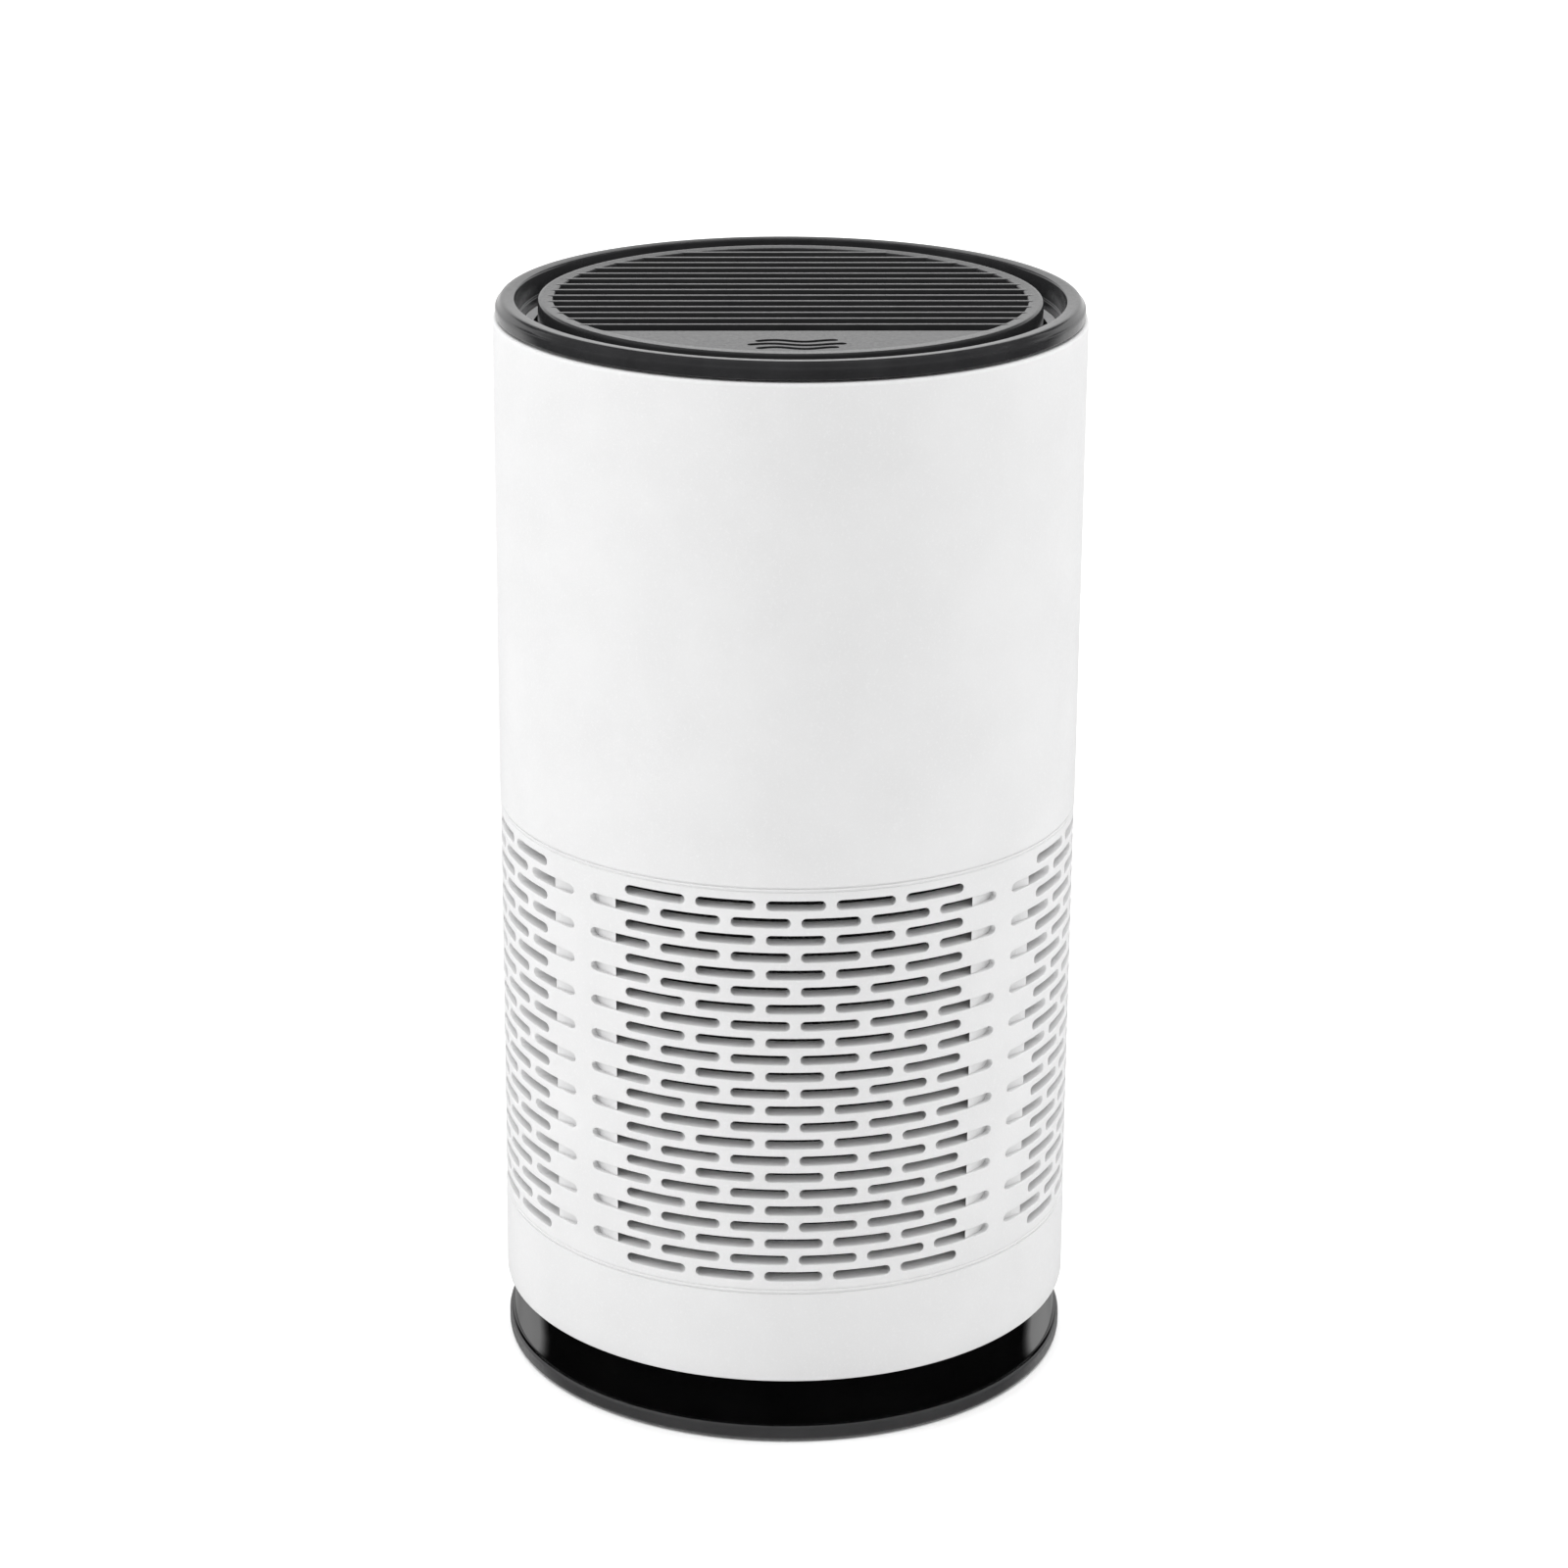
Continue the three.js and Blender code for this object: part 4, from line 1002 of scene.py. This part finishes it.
def filter_tray():
    """The tray that the cartridge stands in, with its bayonet lugs and screw posts."""
    z0, floor_top, boss_top = 5.5, 7.2, 8.6
    plate_r, inside, outside = 31.3, 29.0, 30.6
    lug_r, lug_z0, post_r, post_z0, post_circle = 32.2, 12.9, 2.8, 3.3, 20
    tray = turned("tray_body", [
        (0, z0, 0), (plate_r, z0, 0.3), (plate_r, floor_top, 0.3), (outside, floor_top, 0.3),
        (outside, TRAY_TOP, 0.35), (inside, TRAY_TOP, 0.35), (inside, floor_top, 0.5),
        (10, floor_top, 0.3), (10, boss_top, 0.4), (0, boss_top, 0),
    ], 192)
    lugs = [arc_block(f"lug_{a}", outside - 0.4, lug_r, a - 10, a + 10, lug_z0, TRAY_TOP, 0.2)
            for a in QUARTERS]
    posts = []
    for i, a in enumerate(THIRDS):
        post = ring(f"post_{i}", 1.0, post_r, post_z0, z0 + 0.3, 0.15, 40)
        post.location = on_circle(post_circle, a) * MM
        posts.append(post)
    return merge("filter_tray_fine", [tray, *lugs, *posts])


def bottom_cap():
    lo, hi = span("filter_bottom_cap")
    z0, z1, r = lo.z, hi.z, hi.x
    recess_r, recess_z, floor_top = 10.3, 8.9, 10.2
    rim_in = r - 0.7
    return turned("filter_bottom_cap_fine", [
        (0, recess_z, 0), (recess_r, recess_z, 0.2), (recess_r, z0, 0.3), (r, z0, 0.6),
        (r, z1, 0.25), (rim_in, z1, 0.25), (rim_in, floor_top, 0.1), (0, floor_top, 0),
    ], 192)


def top_cap():
    """A cap with a groove round its top face."""
    lo, hi = span("filter_top_cap")
    z0, z1, r = lo.z, hi.z, hi.x
    hole, lid_z, rim_in = 18, 71.3, r - 0.7
    return turned("cap_body", [
        (hole, lid_z, 0.2), (rim_in, lid_z, 0.1), (rim_in, z0, 0.25), (r, z0, 0.25), (r, z1, 0.7),
        (24.6, z1, 0.2), (24.4, z1 - 0.3, 0.1), (23.2, z1 - 0.3, 0.1), (23.0, z1, 0.2),
        (hole, z1, 0.4),
    ], 192)


def seal_gasket():
    lo, hi = span("seal_gasket")
    return ring("seal_gasket_fine", 19, 22, lo.z, hi.z, 0.35)


def prefilter_sleeve():
    """Foam with a slightly uneven surface and a glued seam down one side."""
    lo, hi = span("prefilter_sleeve")
    r, z0, z1 = hi.x, lo.z, hi.z
    rows, columns, wall = 46, 160, 1.8
    seam_at, seam_half, seam_depth = 2.2, 0.05, 0.25
    verts, faces = [], []
    for side, base_r in ((1, r), (-1, r - wall)):
        for j in range(rows + 1):
            for i in range(columns):
                a = tau * i / columns
                wobble = 0.05 * sin(7 * a + 1.3 * sin(j * 0.5)) + 0.04 * sin(23 * a + j * 0.9)
                rr = base_r - 0.1 + side * wobble * sin(pi * j / rows)
                rr -= seam_depth * max(0.0, 1 - abs(a - seam_at) / seam_half) if side > 0 else 0
                verts.append((rr * cos(a), rr * sin(a), z0 + (z1 - z0) * j / rows))
    layer = (rows + 1) * columns
    for low in range(0, rows * columns, columns):
        faces += quads_between(low, low + columns, columns)
        faces += quads_between(layer + low + columns, layer + low, columns)
    faces += quads_between(rows * columns, layer + rows * columns, columns)
    faces += quads_between(layer, 0, columns)
    return make_object("prefilter_sleeve_fine", verts, faces, 60)


# ---------------- fan


def blade(index):
    """One cambered blade from the hub out to its tip, wrapped round the axis."""
    root, tip, half, thick = 11.2, 21.4, 4.4, 0.9
    root_pitch, twist, camber_h = 34, 20, 0.65
    rows, columns, mid_z = 10, 12, 86.9
    verts, faces = [], []
    for side in (1, -1):
        for j in range(rows + 1):
            t = j / rows
            r = root + (tip - root) * t
            pitch = radians(root_pitch + twist * t)
            for i in range(columns + 1):
                u = i / columns * 2 - 1
                camber = camber_h * (1 - u * u)
                body = thick / 2 * sqrt(max(0.0, 1 - abs(u) ** 3)) * (1 - 0.35 * t) + 0.04
                x = camber - thick / 2 + side * body
                y = u * half * (1 - 0.06 * t ** 6)
                along = x * cos(pitch) - y * sin(pitch)
                up = x * sin(pitch) + y * cos(pitch)
                a = along / r + index * tau / 7
                verts.append((r * cos(a), r * sin(a), mid_z + up))
    width = columns + 1
    layer = (rows + 1) * width
    for j in range(rows):
        for i in range(columns):
            q = [j * width + i, j * width + i + 1, (j + 1) * width + i + 1, (j + 1) * width + i]
            faces.append(q)
            faces.append([layer + v for v in q][::-1])
    border = list(range(width))
    border += [j * width + columns for j in range(1, rows + 1)]
    border += [rows * width + i for i in range(columns - 1, -1, -1)]
    border += [j * width for j in range(rows - 1, 0, -1)]
    for k, v in enumerate(border):
        w = border[(k + 1) % len(border)]
        faces.append([w, v, layer + v, layer + w])
    return make_object(f"blade_{index}", verts, faces, 50)


def impeller():
    lo, hi = 81.5, 92.9
    r, wall = 11.8, 1
    hub = turned("hub", [
        (0, hi - 0.6, 0), (1.3, hi - 0.6, 0), (1.3, hi - 2.2, 0.1), (r - wall, hi - 2.2, 0.2),
        (r - wall, lo, 0.2), (r, lo, 0.3), (r, hi - 0.9, 0.4), (r - 1.2, hi, 0.6), (4.2, hi, 0.3),
        (3.8, hi - 0.35, 0.2), (0, hi - 0.35, 0),
    ], 96)
    return merge("impeller_fine", [hub] + [blade(i) for i in range(7)])


def outlet_diffuser():
    lo, hi = span("outlet_diffuser")
    r = hi.x
    return turned("outlet_diffuser_fine", [
        (22.0, lo.z, 0.2), (23.4, lo.z, 0.2), (r, hi.z, 0.2), (r - 1.4, hi.z, 0.2),
    ], 128)


# ---------------- USB socket


def usb_socket():
    lo, hi = span("usb_socket")
    depth, half_w, half_h = hi.y - lo.y, hi.x, (hi.z - lo.z) / 2
    body = prism("usb_socket_fine", stadium(half_w, half_h, USB_CORNER), [
        (0, -0.05), (0.05, 0), (depth - 0.06, 0), (depth, -0.06)])
    mouth = prism("mouth", stadium(half_w - 0.3, half_h - 0.35, 1.2), [
        (1.0, 0), (depth - 0.12, 0), (depth + 0.1, 0.12)])
    cut(body, [mouth])
    return face_back(body, lo.y, (lo.z + hi.z) / 2)


# ---------------- putting it together


def build():
    for make, body, slot, *nodes in (
        (outer_shell, "housing", "white_abs", "outer_shell"),
        (shell_fittings, "housing", "white_abs"),
        (top_ring, "housing", "black_satin_abs", "top_ring"),
        (outlet_diffuser, "housing", "grey_abs", "outlet_diffuser"),
        (usb_socket, "housing", "steel", "usb_socket"),
        (base_foot, "base", "black_gloss_abs", "base_foot"),
        (filter_tray, "base", "black_satin_abs", "filter_tray"),
    ):
        finish_piece(make(), body, slot, *nodes)
    for node in numbered("foot_pad", 4):
        finish_piece(foot_pad(node), "base", "rubber", node)
    for prefix in ("tray_screw", "deck_screw", "fan_screw", "top_deck_screw"):
        from_below = prefix == "tray_screw"
        for node in numbered(prefix, 3):
            body = "base" if from_below else "housing"
            finish_piece(screw(node, from_below), body, "steel", node)
    for make, body, slot, node in (
        (bottom_cap, "filter", "black_satin_abs", "filter_bottom_cap"),
        (top_cap, "filter", "black_satin_abs", "filter_top_cap"),
        (prefilter_sleeve, "filter", "carbon_foam", "prefilter_sleeve"),
        (seal_gasket, "filter", "eva_foam", "seal_gasket"),
        (impeller, "fan", "black_satin_abs", "impeller"),
        (outlet_disc, "push_top", "black_satin_abs", "outlet_disc"),
        (icon_lens, "push_top", "clear_lens", "icon_lens"),
    ):
        finish_piece(make(), body, slot, node)
    springs()
    carried_over()


def springs():
    for node in numbered("return_spring", 3):
        piece = finish_piece(coil_spring(node), "push_top", "steel", node)
        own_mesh(piece)


def carried_over():
    """CAD nodes whose shape stays get their material."""
    slots = {s["node"]: s["material_slot"] for s in frame["record"]["subparts"]}
    for name, obj in frame["nodes"].items():
        if not obj.hide_render:
            obj.data.materials.clear()
            obj.data.materials.append(LOOKS[slots[name]])


# ---------------- camera, floor and light

LENS = 96.84
CAMERA_AWAY = 486.34
CAMERA_HEIGHT = 239.23
CAMERA_TURN = -1.75
CAMERA_DOWN = 19.04
CAMERA_ROLL = 0.36
AXIS_SHIFT = 0.42


def camera():
    data = bpy.data.cameras.new("camera")
    data.lens = LENS
    data.sensor_width = 36
    data.clip_end = 20
    obj = placed("camera", data)
    a = radians(CAMERA_TURN)
    right, forward = Vector((cos(a), sin(a), 0)), Vector((-sin(a), cos(a), 0))
    place = -right * AXIS_SHIFT - forward * CAMERA_AWAY + Vector((0, 0, CAMERA_HEIGHT))
    turn = Matrix.Rotation(a, 4, "Z") @ Matrix.Rotation(radians(90 - CAMERA_DOWN), 4, "X")
    roll = Matrix.Rotation(radians(CAMERA_ROLL), 4, "Z")
    obj.matrix_world = Matrix.Translation(place * MM) @ turn @ roll
    bpy.context.scene.camera = obj


def floor():
    mesh = bpy.data.meshes.new("floor")
    far = 4.0
    mesh.from_pydata([(-far, -far, 0), (far, -far, 0), (far, far, 0), (-far, far, 0)], [], [(0, 1, 2, 3)])
    obj = placed("floor", mesh)
    look = Look("floor", (0.9, 0.9, 0.9), 0.7)
    look.tint(look.noise(300, 2), (0.91, 0.91, 0.91))
    mesh.materials.append(look.material)
    obj.visible_glossy = False


def area_light(name, place, size, power):
    """A soft lamp that points at the middle of the body."""
    data = bpy.data.lights.new(name, "AREA")
    data.shape = "RECTANGLE"
    data.size, data.size_y = size
    data.energy = power
    obj = placed(name, data)
    obj.location = place
    aim = Vector((0, 0, 0.07)) - Vector(place)
    obj.rotation_euler = aim.to_track_quat("-Z", "Y").to_euler()


def surroundings():
    """An even white tent: the background is plain white and lights everything softly."""
    world = bpy.data.worlds.new("studio")
    bpy.context.scene.world = world
    world.use_nodes = True
    background = world.node_tree.nodes["Background"]
    background.inputs["Color"].default_value = (1, 1, 1, 1)
    background.inputs["Strength"].default_value = 1.0


def reflected_only(name, verts, faces, glow):
    """A sheet that is seen in reflections and nowhere else; glow is its brightness at each point."""
    mesh = bpy.data.meshes.new(name)
    mesh.from_pydata(verts, [], faces)
    shade = mesh.color_attributes.new("glow", "FLOAT_COLOR", "POINT")
    for item, value in zip(shade.data, glow):
        item.color = (value, value, value, 1)
    obj = placed(name, mesh)
    material = bpy.data.materials.new(name)
    material.use_nodes = True
    tree = material.node_tree
    shader = tree.nodes["Principled BSDF"]
    shader.inputs["Base Color"].default_value = (0, 0, 0, 1)
    shader.inputs["Specular IOR Level"].default_value = 0
    shader.inputs["Emission Strength"].default_value = 1
    attribute = tree.nodes.new("ShaderNodeAttribute")
    attribute.attribute_name = "glow"
    tree.links.new(attribute.outputs["Color"], shader.inputs["Emission Color"])
    mesh.materials.append(material)
    for ray in ("camera", "diffuse", "shadow", "transmission"):
        setattr(obj, f"visible_{ray}", False)


def screen(name, low, high, glow_at, away=0.45):
    """A screen bent round the object; glow_at lists (degrees from the front, brightness)."""
    steps = 120
    verts, glow = [], []
    reach = glow_at[-1][0]
    for k in range(steps + 1):
        a = -reach + 2 * reach * k / steps
        after = next(i for i, (at, _) in enumerate(glow_at) if abs(a) <= at + 1e-6 and i)
        (a0, g0), (a1, g1) = glow_at[after - 1], glow_at[after]
        value = g0 + (g1 - g0) * (abs(a) - a0) / (a1 - a0)
        for z in (low, high):
            verts.append((away * sin(radians(a)), -away * cos(radians(a)), z))
            glow.append(value)
    faces = [(2 * k, 2 * k + 2, 2 * k + 3, 2 * k + 1) for k in range(steps)]
    reflected_only(name, verts, faces, glow)


def dark_ceiling(inner=1.3, outer=1.75, z=0.7):
    """A dark ceiling that fades to white at its rim."""
    count = 64
    verts, glow = [], []
    for r, value in ((inner, 0.0), (outer, 1.0)):
        for k in range(count):
            verts.append((r * cos(tau * k / count), r * sin(tau * k / count), z))
            glow.append(value)
    reflected_only("dark_ceiling", verts, [list(range(count)), *quads_between(0, count, count)], glow)


def studio():
    floor()
    surroundings()
    screen("upper_screen", -0.04, 0.4, ((0, 0), (112, 0), (126, 1)))
    screen("lower_screen", -0.5, -0.04, ((0, 0), (116, 0), (123, 1.3), (150, 0.45), (180, 0.2)))
    dark_ceiling()
    area_light("overhead", (0.0, 0.15, 1.1), (1.4, 1.4), 16.0)
    area_light("left", (-1.0, -0.15, 0.5), (0.5, 0.9), 4.2)
    area_light("right", (1.0, 0.1, 0.5), (0.5, 0.9), 3.0)
    scene = bpy.context.scene
    scene.view_settings.view_transform = "Standard"
    scene.view_settings.look = "None"


camera()
studio()
build()
